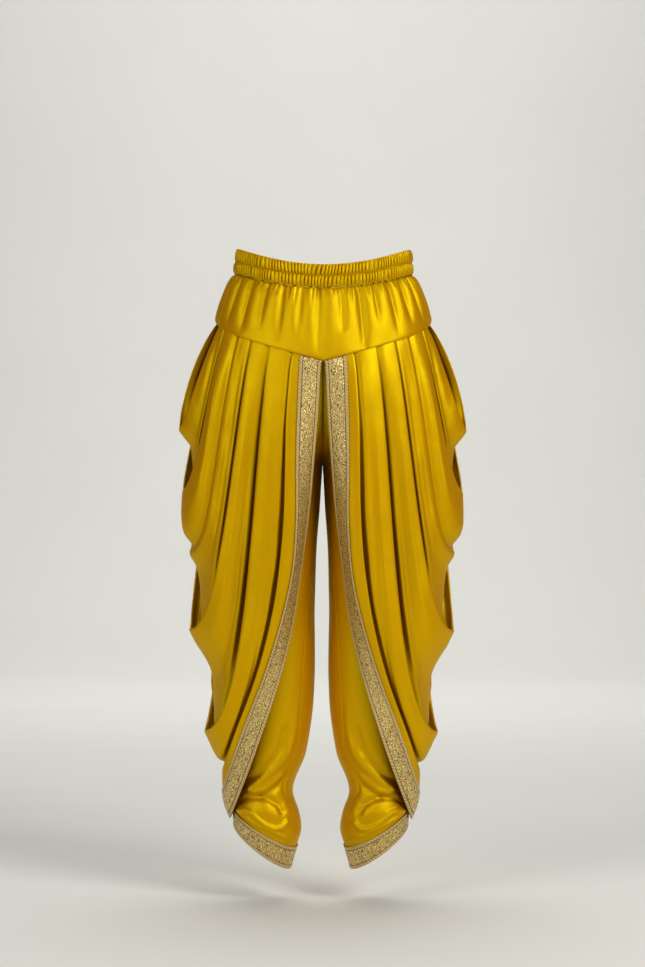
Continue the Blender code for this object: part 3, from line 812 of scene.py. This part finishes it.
def small_gathers(place, share, seed):
    """Short puckers just under the waistband, between the long gathers."""
    rng = np.random.default_rng(seed)
    total = np.zeros_like(place)
    for k in range(PUCKERS):
        centre = (k + 0.5 + PUCKER_SHIFT * (rng.random() - 0.5)) / (PUCKERS / 2)
        deep = lerp(*PUCKER_DEEP, rng.random())
        reach = lerp(*PUCKER_REACH, rng.random() ** 1.5)
        width = lerp(*PUCKER_WIDTH, rng.random())
        lean = PUCKER_LEAN * (rng.random() - 0.5)
        fade = 1.0 - smooth(share / reach)
        total += deep * fade * np.exp(-((place - centre - lean * share / reach) / width) ** 2)
    return total


def yoke_grid(front):
    gathers = FRONT_GATHERS if front else BACK_GATHERS
    edge = SEAM_GAP / 2 / HIP_HALF_DEPTH
    place = np.linspace(0.0, 2.0, YOKE_COLUMNS + 1)
    angle = (0.0 if front else np.pi) + edge + (np.pi - 2 * edge) * place / 2
    grid = []
    for share in np.linspace(0.0, 1.0, YOKE_ROWS + 1):
        swell = share ** YOKE_PUFF
        half_width = lerp(BAND_FOOT_HALF_WIDTH, HIP_HALF_WIDTH, swell)
        half_depth = lerp(BAND_FOOT_HALF_DEPTH, HIP_HALF_DEPTH, swell)
        x, y = oval(angle, half_width, half_depth)
        down = lerp(band_foot_down(angle) + SEAM_GAP, yoke_foot_down(angle), share)
        onset = math.sin(math.pi / 2 * min(1.0, share * GATHER_ONSET + GATHER_AT_BAND))
        hollow = gather_depth(gathers, place, share) * onset
        hollow += small_gathers(place, share, 5 if front else 6)
        hollow *= smooth(np.minimum(place, 2.0 - place) / SIDE_FADE)
        hollow += SEAM_ROLL * smooth((share - SEAM_ROLL_FROM) / (1.0 - SEAM_ROLL_FROM))
        grid.append(np.stack([x, y, -down], axis=1)
                    - oval_normal(x, y, half_width, half_depth) * hollow[:, None])
    grid = np.array(grid)
    soft = smooth(np.linspace(0.0, 1.0, YOKE_ROWS + 1) / YOKE_WAVE_FROM)[:, None, None]
    wave = unevenness(grid, YOKE_WAVE_SIZE, 2.0)[:, :, None] * YOKE_WAVE_HEIGHT
    return grid + grid_normals(grid) * wave * soft


# Drapes

def hip_point(out, front):
    """Place on the hip oval that lies so far out, and its outward direction."""
    angle = math.acos(min(0.9999, out / HIP_HALF_WIDTH))
    sign = -1.0 if front else 1.0
    down = float(yoke_foot_down(angle)) + SEAM_GAP
    place = Vector((out, sign * HIP_HALF_DEPTH * math.sin(angle), -down))
    normal = Vector((math.cos(angle) / HIP_HALF_WIDTH, sign * math.sin(angle) / HIP_HALF_DEPTH, 0.0))
    return place, normal.normalized()


def loop_shares(rows):
    """Way along a loop: 0 at the front seam, 1 at the side, 2 at the back seam."""
    half = [1.0 - (1.0 - i / rows) ** LOOP_CROWDING for i in range(rows + 1)]
    return half + [2.0 - t for t in reversed(half[:-1])]


def rounding(t, start):
    if t <= start:
        return 1.0
    return math.sqrt(max(0.0, 1.0 - ((t - start) / (1.0 - start)) ** 2))


def fold_point(name, way):
    front = way <= 1.0
    t = way if front else 2.0 - way
    fold = (FRONT_FOLDS if front else BACK_FOLDS)[name]
    seam, normal = hip_point(fold.seam_out, front)
    seam = seam + normal * SEAM_LIFT
    out = bezier(seam.x, fold.hang_out, fold.turn_out, fold.tip_out, t)
    down = bezier(-seam.z, fold.hang_down, fold.turn_down, fold.tip_down, t)
    depth = bezier(abs(seam.y), fold.hang_depth, fold.turn_depth, fold.turn_depth * TIP_DEPTH, t)
    depth *= rounding(t, ROUND_FROM)
    return Vector((out, -depth if front else depth, -down))


def station_point(kind, way):
    front = way <= 1.0
    t = way if front else 2.0 - way
    out = through([getattr(s, kind + "_out") for s in BORDER_STATIONS], t)
    down = through([getattr(s, kind + "_down") for s in BORDER_STATIONS], t)
    depth = through([getattr(s, kind + "_depth") for s in BORDER_STATIONS], t)
    seam, normal = hip_point(getattr(BORDER_STATIONS[0], kind + "_out"), front)
    near = 1.0 - float(smooth(t / SEAM_BLEND))
    depth = lerp(depth, abs(seam.y + normal.y * SEAM_LIFT), near)
    down = lerp(down, -seam.z, near)
    depth *= rounding(t, BORDER_ROUND_FROM)
    return Vector((out, -depth if front else depth, -down))


def pleat_sizes(name, t):
    fold = FRONT_FOLDS.get(name, BORDER_FOLD)
    roll = lerp(PLEAT_ROLL_AT_SEAM, fold.roll, float(smooth(t / ROLL_FULL_AT)))
    deep = float(smooth((t - POCKET_FROM) / (POCKET_FULL_AT - POCKET_FROM)))
    gape = fold.gape * float(smooth((t - GAPE_FROM) / (1.0 - GAPE_FROM)))
    return roll, lerp(PLEAT_DEPTH, fold.pocket, deep), gape


def pleat_frame(line, following, i):
    """Direction into the cloth and direction away from the leg, at a fold's edge."""
    along = (line[min(i + 1, len(line) - 1)] - line[max(i - 1, 0)]).normalized()
    inward = following[i] - line[i]
    inward -= along * inward.dot(along)
    reach = inward.length
    inward.normalize()
    return inward, inward.cross(along).normalized(), reach


def late_point(name, start, under, away, depth, t):
    """Last place on a tier's face before it drops under the next fold."""
    rise = LATE_RISES[name] * depth * (1.0 - float(smooth(t * 2.0 - 1.0)))
    return start.lerp(under, LATE) + away * rise, name, LATE


def tier_face(name, start, end, away, roll):
    """Visible cloth between one fold's edge and the pocket of the next fold."""
    bow = min(FACE_BOW, (end - start).length_squared / (8 * HIP_CURVE))
    points = []
    for belly in BELLIES[name]:
        share = belly.share
        rise = 4 * roll * (share - share ** 3) + 4 * bow * share * (1 - share)
        points.append((start.lerp(end, share) + away * rise, name, share))
    return points


def drape_columns(ways):
    """Columns of the drape, from the turned-in edge at the hip to the free front edge.
    Each row holds places, and each column's tier and share of its face."""
    names = list(FRONT_FOLDS) + ["border_fold"]
    lines = {n: [fold_point(n, w) for w in ways] for n in FRONT_FOLDS}
    lines["border_fold"] = [station_point("fold", w) for w in ways]
    outer = [station_point("outer", w) for w in ways]
    inner = [station_point("inner", w) for w in ways]
    following = {n: lines[names[k + 1]] if k + 1 < len(names) else outer for k, n in enumerate(names)}
    rows = []
    for i, way in enumerate(ways):
        t = way if way <= 1.0 else 2.0 - way
        row = []
        for k, name in enumerate(names):
            edge = lines[name][i]
            inward, away, reach = pleat_frame(lines[name], following[name], i)
            roll, pocket, gape = pleat_sizes(name, t)
            deeper = PLEAT_DIPS.get(name, 0.0) * math.sin(math.pi * t) ** 1.5
            tuck = min(pocket, PLEAT_SHARE * reach)
            if name in SOFT_FOLDS:
                hollow = max(roll + gape, lerp(SOFT_DEPTH_AT_SEAM, 0.0, t))
                groove = edge - inward * lerp(SOFT_GROOVE_AT_SEAM, SOFT_GROOVE, t) - away * hollow
                row += tier_face(names[k - 1], start, groove, start_away, start_roll)
                row += [(groove, names[k - 1], 1.0), (edge, "", 0.0)]
                start = edge + inward * SOFT_GROOVE + away * SOFT_RISE
            elif k > 0:
                depth = 3 * roll + gape + deeper
                below = -away * depth
                under = edge - inward * roll * EDGE_SHARPNESS + below
                row += tier_face(names[k - 1], start, under, start_away, start_roll)
                row.append(late_point(names[k - 1], start, under, away, depth, t))
                row += [(under, names[k - 1], 1.0), (edge + inward * tuck + below, "", 0.0),
                        (edge + inward * (tuck + roll) - away * 2 * roll, "", 0.0),
                        (edge + inward * tuck - away * roll, "", 0.0)]
            else:
                depth = FIRST_TURN_ROLLS * roll + gape
                row.append((edge + inward * tuck * FIRST_TURN - away * depth, "", 0.0))
            if name not in SOFT_FOLDS:
                sharp = roll * EDGE_SHARPNESS
                row += [(edge + (inward - away) * sharp, "", 0.0), (edge, "", 0.0)]
                start = edge + (inward + away) * sharp
            start_away, start_roll = away, roll
            row.append((start, name, 0.0))
        middle = outer[i].lerp(inner[i], 0.5)
        bow = (outer[i] - inner[i]).length * RIBBON_BOW
        middle += Vector((middle.x - LEG_AXIS_OUT, middle.y, 0.0)).normalized() * bow
        row += [(outer[i], "", 0.0), (middle, "", 0.0), (inner[i], "", 0.0)]
        rows.append(row)
    return rows


def fill_bellies(grid, columns, ways):
    """Swells each tier at the side of the leg to the outline of its belly."""
    side = len(ways) // 2
    nearness = smooth((1.0 - np.abs(1.0 - np.array(ways)) - BELLY_FROM) / (1.0 - BELLY_FROM))
    for c, (_, name, share) in enumerate(columns):
        for belly in BELLIES.get(name, ()):
            if belly.share == share:
                flat = grid[side, c]
                swell = np.array((belly.out - flat[0], 0.0, -belly.down - flat[2]))
                grid[:, c] += swell * nearness[:, None]
                if columns[c + 1][2] == LATE:
                    grid[:, c + 1] += (1.0 - LATE_WAY) * swell * nearness[:, None]


def on_yoke_seam(row):
    """Brings a row of the drape's top edge onto the curved yoke seam."""
    angle = np.arctan2(np.abs(row[:, 1]) / HIP_HALF_DEPTH, row[:, 0] / HIP_HALF_WIDTH)
    row[:, 2] = -yoke_foot_down(angle) - SEAM_GAP


def tucked(grid, rise, inset, both_ends):
    """Adds the seam allowance at the top edge, hidden under the piece above."""
    def allowance(row):
        inward = row * np.array((-1.0, -1.0, 0.0))
        inward /= np.maximum(np.linalg.norm(inward, axis=1, keepdims=True), 1e-6)
        return (row + inward * inset + np.array((0.0, 0.0, rise)))[None]

    parts = [allowance(grid[0]), grid]
    if both_ends:
        parts.append(allowance(grid[-1]))
    return np.concatenate(parts)


def drape_grid(rows):
    """Fine grid of the left drape, the way along the loop of its rows, and the
    tier and share of each fine column."""
    ways = loop_shares(rows)
    table = drape_columns(ways)
    grid = np.array([[tuple(place) for place, _, _ in row] for row in table])
    columns = table[0]
    fill_bellies(grid, columns, ways)
    on_yoke_seam(grid[0])
    on_yoke_seam(grid[-1])
    counts, tiers, shares = [], [], []
    for (_, name, share), (_, next_name, next_share) in zip(columns, columns[1:]):
        face = bool(name) and next_name == name
        count = FACE_STEPS if face else ROLL_STEPS
        counts.append(count)
        for step in range(count):
            tiers.append(name if face else "")
            shares.append(lerp(share, next_share, step / count) if face else 0.0)
    counts[-1] = counts[-2] = FACE_STEPS
    tiers = tiers[:-2 * ROLL_STEPS] + [""] * (2 * FACE_STEPS + 1)
    shares = shares[:-2 * ROLL_STEPS] + [0.0] * (2 * FACE_STEPS + 1)
    return refine(grid, counts), np.array(ways), tiers, np.array(shares)


def crease_height(ways, tiers, shares):
    """Soft creases as heights over the grid."""
    height = np.zeros((len(ways), len(tiers)))
    for crease in DRAPE_CREASES:
        on_tier = np.array([tier == crease.tier for tier in tiers])
        t = (ways - crease.way_a) / (crease.way_b - crease.way_a)
        strength = np.where((t > 0) & (t < 1), np.sin(np.pi * np.clip(t, 0, 1)) ** 0.8, 0.0)
        centre = lerp(crease.share_a, crease.share_b, np.clip(t, 0, 1))
        away = (shares[None, :] - centre[:, None]) / crease.width
        height += crease.height * strength[:, None] * np.exp(-away ** 2) * on_tier[None, :]
    return height


def worn_drape(rows, seed):
    grid, ways, tiers, shares = drape_grid(rows)
    normal = grid_normals(grid, level_rows=(0, -1))
    on_face = np.array([1.0 if tier else WAVE_IN_POCKETS for tier in tiers])[None, :]
    calm = smooth((1.0 - np.abs(1.0 - ways)) / CALM_AT_SEAM)[:, None]
    height = crease_height(ways, tiers, shares)
    for size, high, shift in DRAPE_WAVES:
        height += unevenness(grid, size, seed + shift) * high * on_face
    return grid + normal * (height * calm)[:, :, None]


# Ribbons

def ribbon_relief(across, along, width):
    """Raised braided edges, a groove inside each, low woven relief between them."""
    def weave(first, second, high, length, sway, sway_length):
        swayed = 2 * np.pi * first / length + sway * np.sin(2 * np.pi * second / sway_length)
        return high * np.sin(swayed)

    inset = np.minimum(across, width - across)
    high, place, half = BRAID
    braid = high * np.sqrt(np.clip(1.0 - ((inset - place) / half) ** 2, 0.0, 1.0))
    deep, place, half = GROOVE
    groove = -deep * np.exp(-((inset - place) / half) ** 2)
    field = smooth((inset - FIELD_FROM) / FIELD_FADE)
    scrolls = weave(along, across, *WEAVE_ALONG) + weave(across, along, *WEAVE_ACROSS)
    return braid + groove + field * scrolls


def ribbon_lengths(share, along):
    width = bpy.context.scene.trousers_ribbon.width
    across, down = np.meshgrid(share * width, along * MM)
    return np.stack([across, down], axis=2)


# Under-trousers

def leg_row(section, turn):
    """Turn 0 is the outer side, 90 degrees the front, 180 the inner side."""
    slant = section.slant * (HEM_TILT_FRONT * np.sin(turn) - HEM_TILT_SIDE * np.cos(turn))
    return np.stack([section.middle + section.half_width * np.cos(turn),
                     -section.half_depth * np.sin(turn), -section.down - slant], axis=1)


def panel_turns(section, front, share):
    """Turns of one panel's columns, from the outer seam to the inseam."""
    margin = LEG_SEAM_GAP / 2 / section.half_depth
    if section.middle < section.half_width:
        last = math.acos(-(section.middle - LEG_SEAM_GAP / 2) / section.half_width)
    else:
        last = math.radians(section.inseam) if front else 2 * math.pi - math.radians(section.inseam)
    turns = lerp(margin, last - margin, share)
    return turns if front else -turns


def under_yoke_row(share, front, inset, rise):
    angle = share * np.pi / 2
    x, y = oval(angle, HIP_HALF_WIDTH - inset, HIP_HALF_DEPTH - inset)
    x = np.maximum(x, LEG_SEAM_GAP / 2)
    y = np.minimum(y, -LEG_SEAM_GAP / 2)
    return np.stack([x, y if front else -y, rise - yoke_foot_down(angle)], axis=1)


def leg_fold_height(grid, front):
    """Heights of the satin folds over a leg grid, faded out towards its sides."""
    out, down = np.abs(grid[:, :, 0]), -grid[:, :, 2]
    height = np.zeros_like(out)
    for fold in LEG_FOLDS:
        places = np.array(fold.places, float)
        nearest = np.full_like(out, 1e9)
        for (ax, ay), (bx, by) in zip(places, places[1:]):
            span = (bx - ax) ** 2 + (by - ay) ** 2
            t = np.clip(((out - ax) * (bx - ax) + (down - ay) * (by - ay)) / span, 0, 1)
            nearest = np.minimum(nearest, np.hypot(out - ax - t * (bx - ax), down - ay - t * (by - ay)))
        height += fold.height * np.exp(-(nearest / fold.width) ** 2)
    facing = -grid_normals(grid)[:, :, 1]
    return height * smooth((facing if front else -facing) / FOLD_TURNS_AWAY)


def leg_steps():
    return [4, 4] + [section.steps for section in LEG_SECTIONS[1:]]


def panel_grid(front):
    share = np.linspace(0.0, 1.0, LEG_COLUMNS + 1)
    rows = [under_yoke_row(share, front, UNDER_INSET_TOP, UNDER_TUCK),
            under_yoke_row(share, front, UNDER_INSET, -UNDER_TUCK)]
    rows += [leg_row(section, panel_turns(section, front, share)) for section in LEG_SECTIONS]
    grid = refine_down(np.array(rows), leg_steps())
    return grid if front else grid[:, ::-1]


def worn_panel(front, seed):
    grid = panel_grid(front)
    normal = grid_normals(grid)
    height = leg_fold_height(grid, front)
    down = -grid[:, :, 2]
    low = smooth((down - LEG_WAVE_FROM) / LEG_WAVE_FULL)
    low = low * (1 - smooth((down - LEG_WAVE_UNTIL) / LEG_WAVE_FADE))
    height += unevenness(grid, LEG_WAVE_SIZE, seed) * LEG_WAVE_HEIGHT * low
    column = np.arange(LEG_COLUMNS + 1)
    near_seam = smooth(np.minimum(column, LEG_COLUMNS - column) / SEAM_FADE_COLUMNS)
    above_hem = len(grid) - 1 - LEG_SECTIONS[-1].steps - np.arange(len(grid))
    near_hem = smooth(above_hem / HEM_FADE_ROWS)
    return grid + normal * (height * near_seam * near_hem[:, None])[:, :, None]


# Operators

class ClothSettings(bpy.types.PropertyGroup):
    colour: FloatVectorProperty(name="Satin", description="Colour of the satin's right side",
                                subtype="COLOR", min=0.0, max=1.0, default=(0.61, 0.222, 0.0))
    reverse_colour: FloatVectorProperty(name="Reverse", description="Colour of the satin's dull side",
                                        subtype="COLOR", min=0.0, max=1.0, default=(0.40, 0.15, 0.0))
    # Painted shade: the colour the satin takes deep in its folds and creases, standing in for shadow.
    fold_shade_colour: FloatVectorProperty(name="Folds", description="Colour deep in the folds",
                                     subtype="COLOR", min=0.0, max=1.0, default=(0.25, 0.06, 0.0))
    # Painted shade: how far the ambient occlusion looks for nearby cloth that darkens a fold.
    fold_shade_reach: FloatProperty(name="Fold reach", description="Width of the dark line beside a fold",
                              subtype="DISTANCE", unit="LENGTH", min=0.001, max=0.05, default=0.030)
    highlight_colour: FloatVectorProperty(name="Highlight",
                                          description="Colour of the light on the satin",
                                          subtype="COLOR", min=0.0, max=1.0,
                                          default=(0.96, 0.95, 0.008))
    roughness: FloatProperty(name="Roughness", description="How soft the satin's shine is",
                             subtype="FACTOR", min=0.1, max=1.0, default=0.44)
    gloss: FloatProperty(name="Gloss", description="Strength of the satin's shine",
                         subtype="FACTOR", min=0.0, max=1.0, default=1.0)
    metal: FloatProperty(name="Golden shine",
                         description="Share of the shine that takes the cloth's colour",
                         subtype="FACTOR", min=0.0, max=1.0, default=0.15)
    thread: FloatProperty(name="Thread", description="Distance between the threads of the weave",
                          subtype="DISTANCE", unit="LENGTH", min=0.0001, max=0.002, default=0.0004)
    ripple: FloatProperty(name="Ripple", description="Height of the cloth's soft unevenness",
                          subtype="DISTANCE", unit="LENGTH", min=0.0, max=0.005, default=0.0016)
    rows: IntProperty(name="Drape rows",
                      description="Rows of each drape from the front seam to the side",
                      min=12, max=96, default=52)


class BandSettings(bpy.types.PropertyGroup):
    ribs: IntProperty(name="Ribs", description="Ribs of elastic gathers round each row",
                      min=40, max=200, default=132)
    rib_height: FloatProperty(name="Rib height", description="How far each rib stands out",
                              subtype="DISTANCE", unit="LENGTH", min=0.0, max=0.005, default=0.0032)


class RibbonSettings(bpy.types.PropertyGroup):
    width: FloatProperty(name="Width", description="Width of the woven ribbon",
                         subtype="DISTANCE", unit="LENGTH", min=0.01, max=0.08, default=0.035)
    edge_width: FloatProperty(name="Edge width", description="Width of each braided edge",
                              subtype="DISTANCE", unit="LENGTH", min=0.001, max=0.01, default=0.0046)
    line_width: FloatProperty(name="Line width", description="Width of the dark line inside each edge",
                              subtype="DISTANCE", unit="LENGTH", min=0.0002, max=0.004, default=0.0014)
    edge_colour: FloatVectorProperty(name="Edges", description="Colour of the braided edges",
                                     subtype="COLOR", min=0.0, max=1.0, default=(0.64, 0.44, 0.15))
    line_colour: FloatVectorProperty(name="Lines", description="Colour of the line inside each edge",
                                     subtype="COLOR", min=0.0, max=1.0, default=(0.05, 0.018, 0.006))
    ground_colour: FloatVectorProperty(name="Ground", description="Colour between the woven scrolls",
                                       subtype="COLOR", min=0.0, max=1.0, default=(0.12, 0.06, 0.009))
    thread_colour: FloatVectorProperty(name="Scrolls", description="Colour of the woven scrolls",
                                       subtype="COLOR", min=0.0, max=1.0, default=(0.55, 0.35, 0.085))
    # Partly a real thread colour and partly a painted glint.
    glint_thread_colour: FloatVectorProperty(name="Glints", description="Colour of the brightest threads",
                                       subtype="COLOR", min=0.0, max=1.0, default=(1.0, 0.78, 0.30))


class StageSettings(bpy.types.PropertyGroup):
    floor_colour: FloatVectorProperty(name="Floor", description="Colour of the floor and backdrop",
                                      subtype="COLOR", min=0.0, max=1.0, default=(0.81, 0.806, 0.765))
    floor_drop: FloatProperty(name="Floor drop", description="Distance of the floor below the waist",
                              subtype="DISTANCE", unit="LENGTH", min=0.96, max=2.0, default=1.005)
    camera_distance: FloatProperty(name="Camera distance", description="Distance of the camera",
                                   subtype="DISTANCE", unit="LENGTH", min=1.0, max=10.0, default=4.2)
    camera_drop: FloatProperty(name="Camera drop", description="Distance of the camera below the waist",
                               subtype="DISTANCE", unit="LENGTH", min=-1.0, max=1.0, default=0.3416)
    camera_roll: FloatProperty(name="Camera roll", description="Tilt of the picture",
                               subtype="ANGLE", unit="ROTATION", min=-0.1, max=0.1, default=-0.0050)
    lens: FloatProperty(name="Lens", description="Focal length", unit="CAMERA",
                        min=20.0, max=200.0, default=97.7)
    key_power: FloatProperty(name="Key light", description="Power of the light from the front right",
                             unit="POWER", min=0.0, max=1000.0, default=76.0)
    fill_power: FloatProperty(name="Fill light", description="Power of the light from the left",
                              unit="POWER", min=0.0, max=1000.0, default=36.0)
    top_power: FloatProperty(name="Top light", description="Power of the light from above",
                             unit="POWER", min=0.0, max=1000.0, default=62.0)
    wall_power: FloatProperty(name="Wall light", description="Power of the light on the backdrop",
                              unit="POWER", min=0.0, max=1000.0, default=124.0)
    surround: FloatProperty(name="Surround", description="Strength of the light from all sides",
                            min=0.0, max=3.0, default=0.10)


class TROUSERS_OT_waistband(bpy.types.Operator):
    """Make the elastic waistband with its two rows of ribs"""
    bl_idname = "trousers.waistband"
    bl_label = "Waistband"

    def execute(self, context):
        grid = waistband_grid(context.scene.trousers_band)
        piece = cloth_shell("waistband_cloth", grid, BAND_WALL, cloth_pair("band"), closed=True)
        dress(piece, "waistband")
        return {"FINISHED"}


class TROUSERS_OT_yoke(bpy.types.Operator):
    """Make the front and back of the gathered hip yoke"""
    bl_idname = "trousers.yoke"
    bl_label = "Yoke"

    def execute(self, context):
        for front, label in ((True, "front"), (False, "back")):
            piece = cloth_shell("yoke_" + label + "_cloth", yoke_grid(front), YOKE_WALL,
                                cloth_pair("yoke_" + label), level_rows=(0, -1))
            dress(piece, "yoke_" + label)
        return {"FINISHED"}


class TROUSERS_OT_under_legs(bpy.types.Operator):
    """Make the front and back panels of the under-trousers"""
    bl_idname = "trousers.under_legs"
    bl_label = "Under-trousers"

    def execute(self, context):
        for side, label in SIDES:
            for front, face in ((True, "front"), (False, "back")):
                grid = mirrored(worn_panel(front, 11.0 if front else 17.0), side)
                name = "under_" + face + "_" + label
                piece = cloth_shell(name + "_cloth", grid, CLOTH, cloth_pair(name))
                dress(piece, name)
        return {"FINISHED"}


class TROUSERS_OT_drapes(bpy.types.Operator):
    """Make the pleated drape of each leg"""
    bl_idname = "trousers.drapes"
    bl_label = "Drapes"

    def execute(self, context):
        for side, label in SIDES:
            grid = worn_drape(context.scene.trousers_cloth.rows, 20.0 + side)
            grid = mirrored(tucked(grid, SEAM_RISE, SEAM_INSET, True), side)
            piece = cloth_shell("drape_" + label + "_cloth", grid, CLOTH, cloth_pair("drape_" + label),
                                level_rows=(0, -1))
            dress(piece, "drape_" + label)
        return {"FINISHED"}


class TROUSERS_OT_drape_ribbons(bpy.types.Operator):
    """Make the brocade ribbon along the free edge of each drape"""
    bl_idname = "trousers.drape_ribbons"
    bl_label = "Drape ribbons"

    def execute(self, context):
        width = context.scene.trousers_ribbon.width / MM
        for side, label in SIDES:
            strip = worn_drape(context.scene.trousers_cloth.rows, 20.0 + side)[:, -2 * FACE_STEPS - 1:]
            strip, along = evenly(strip, RIBBON_STEP)
            way = np.linspace(0.0, 1.0, strip.shape[1])
            share = np.linspace(0.0, 1.0, RIBBON_COLUMNS + 1)
            grid = np.stack([[np.interp(share, way, row[:, k]) for row in strip]
                             for k in range(3)], axis=2)
            normal = grid_normals(grid, level_rows=(0, -1))
            relief = ribbon_relief(share[None, :] * width, along[:, None], width)
            grid = mirrored(grid + normal * relief[:, :, None], side)
            lift = CLOTH / 2 + SEAM_GAP + RIBBON_THICK / 2
            piece = cloth_shell("drape_border_" + label + "_ribbon", grid, RIBBON_THICK,
                                (brocade("drape_" + label, "Y"), cloth_pair("ribbon_back_" + label)[1]),
                                level_rows=(0, -1), lift=lift, lengths=ribbon_lengths(share, along))
            dress(piece, "drape_border_" + label)
        return {"FINISHED"}


class TROUSERS_OT_hem_ribbons(bpy.types.Operator):
    """Make the brocade ribbon round each ankle"""
    bl_idname = "trousers.hem_ribbons"
    bl_label = "Hem ribbons"

    def execute(self, context):
        width = context.scene.trousers_ribbon.width / MM
        turn = 2 * np.pi * np.arange(HEM_COLUMNS) / HEM_COLUMNS
        steps = [section.steps for section in LEG_SECTIONS[1:-1]] + [RIBBON_COLUMNS]
        leg = refine_down(np.array([leg_row(section, turn) for section in LEG_SECTIONS]), steps)
        ring = leg[-RIBBON_COLUMNS - 1:]
        share = np.linspace(0.0, 1.0, RIBBON_COLUMNS + 1)
        girth = cloth_lengths(ring, True)[RIBBON_COLUMNS // 2, :, 0]
        relief = ribbon_relief(share[:, None] * width, girth[None, :-1] / MM, width)
        normal = grid_normals(ring, closed=True)
        across, along = np.meshgrid(share * width * MM, girth, indexing="ij")
        for side, label in SIDES:
            grid = mirrored(ring + normal * relief[:, :, None], side)
            lift = CLOTH / 2 + HEM_CLEARANCE + RIBBON_THICK / 2
            piece = cloth_shell("hem_border_" + label + "_ribbon", grid, RIBBON_THICK,
                                (brocade("hem_" + label, "X"), cloth_pair("hem_back_" + label)[1]),
                                closed=True, lift=lift, lengths=np.stack([along, across], axis=2))
            dress(piece, "hem_border_" + label)
        return {"FINISHED"}


class TROUSERS_OT_stage(bpy.types.Operator):
    """Make the camera, the lights, and the pale floor that rises into the backdrop"""
    bl_idname = "trousers.stage"
    bl_label = "Stage"

    def execute(self, context):
        settings = context.scene.trousers_stage
        camera = bpy.data.cameras.new("camera")
        camera.lens = settings.lens
        camera.sensor_width = 36.0
        camera.clip_end = 100.0
        holder = bpy.data.objects.new("camera", camera)
        holder.location = (0.0, -settings.camera_distance, -settings.camera_drop)
        holder.rotation_euler = (math.pi / 2, settings.camera_roll, 0.0)
        context.scene.collection.objects.link(holder)
        context.scene.camera = holder
        make_sweep(settings)
        for light in LIGHTS:
            make_light(light, getattr(settings, light.name + "_power"))
        world = bpy.data.worlds.new("studio")
        world.use_nodes = True
        background = world.node_tree.nodes["Background"]
        background.inputs["Color"].default_value = SURROUND_COLOUR
        background.inputs["Strength"].default_value = settings.surround
        context.scene.world = world
        context.scene.view_settings.view_transform = "Standard"
        return {"FINISHED"}


def make_light(light, power):
    lamp = bpy.data.lights.new(light.name, "AREA")
    lamp.size = light.size
    lamp.energy = power
    lamp.color = light.colour
    holder = bpy.data.objects.new(light.name, lamp)
    holder.location = light.place
    toward = Vector(light.target) - Vector(light.place)
    holder.rotation_euler = toward.to_track_quat("-Z", "Y").to_euler()
    bpy.context.scene.collection.objects.link(holder)


def make_sweep(settings):
    """Floor that curves up into a wall behind, in one smooth sheet."""
    floor = -settings.floor_drop
    curve_from = SWEEP_WALL - SWEEP_RADIUS
    profile = [(SWEEP_FRONT, floor), (curve_from, floor)]
    profile += [(curve_from + SWEEP_RADIUS * math.sin(a), floor + SWEEP_RADIUS * (1 - math.cos(a)))
                for a in np.linspace(0.0, math.pi / 2, SWEEP_STEPS + 1)[1:]]
    profile.append((SWEEP_WALL, SWEEP_TOP))
    points = [(x, y, z) for y, z in profile for x in (-SWEEP_HALF_WIDTH, SWEEP_HALF_WIDTH)]
    faces = [(2 * k, 2 * k + 1, 2 * k + 3, 2 * k + 2) for k in range(len(profile) - 1)]
    mesh = bpy.data.meshes.new("sweep")
    mesh.from_pydata(points, [], faces)
    mesh.shade_smooth()
    material, nodes, links, shader = new_material("sweep", 0.9, 0.0)
    place = nodes.new("ShaderNodeTexCoord").outputs["Object"]
    grain = noise_node(nodes, links, place, FLOOR_GRAIN, 2.0)
    links.new(ramp_node(nodes, links, grain, ((0.3, shade(settings.floor_colour, 0.99)),
                                              (0.7, shade(settings.floor_colour, 1.01)))),
              shader.inputs["Base Color"])
    shader.inputs["Specular IOR Level"].default_value = 0.1
    mesh.materials.append(material)
    sweep = bpy.data.objects.new("sweep", mesh)
    bpy.context.scene.collection.objects.link(sweep)


class TROUSERS_PT_panel(bpy.types.Panel):
    bl_idname = "TROUSERS_PT_panel"
    bl_label = "Pleated trousers"
    bl_space_type = "VIEW_3D"
    bl_region_type = "UI"
    bl_category = "Trousers"

    def draw(self, context):
        for group in (context.scene.trousers_cloth, context.scene.trousers_band,
                      context.scene.trousers_ribbon, context.scene.trousers_stage):
            column = self.layout.column(align=True)
            for name in group.__annotations__:
                column.prop(group, name)
        column = self.layout.column(align=True)
        for operator in OPERATORS:
            column.operator(operator.bl_idname)


OPERATORS = (
    TROUSERS_OT_stage,
    TROUSERS_OT_waistband,
    TROUSERS_OT_yoke,
    TROUSERS_OT_under_legs,
    TROUSERS_OT_drapes,
    TROUSERS_OT_drape_ribbons,
    TROUSERS_OT_hem_ribbons,
)
SETTINGS = (
    ("trousers_cloth", ClothSettings),
    ("trousers_band", BandSettings),
    ("trousers_ribbon", RibbonSettings),
    ("trousers_stage", StageSettings),
)


def register():
    for name, group in SETTINGS:
        bpy.utils.register_class(group)
        setattr(bpy.types.Scene, name, PointerProperty(type=group))
    for cls in (*OPERATORS, TROUSERS_PT_panel):
        bpy.utils.register_class(cls)


def unregister():
    for cls in reversed((*OPERATORS, TROUSERS_PT_panel)):
        bpy.utils.unregister_class(cls)
    for name, group in reversed(SETTINGS):
        delattr(bpy.types.Scene, name)
        bpy.utils.unregister_class(group)


def main():
    register()
    bpy.ops.trousers.stage()
    bpy.ops.trousers.waistband()
    bpy.ops.trousers.yoke()
    bpy.ops.trousers.under_legs()
    bpy.ops.trousers.drapes()
    bpy.ops.trousers.drape_ribbons()
    bpy.ops.trousers.hem_ribbons()


if __name__ == "__main__":
    main()
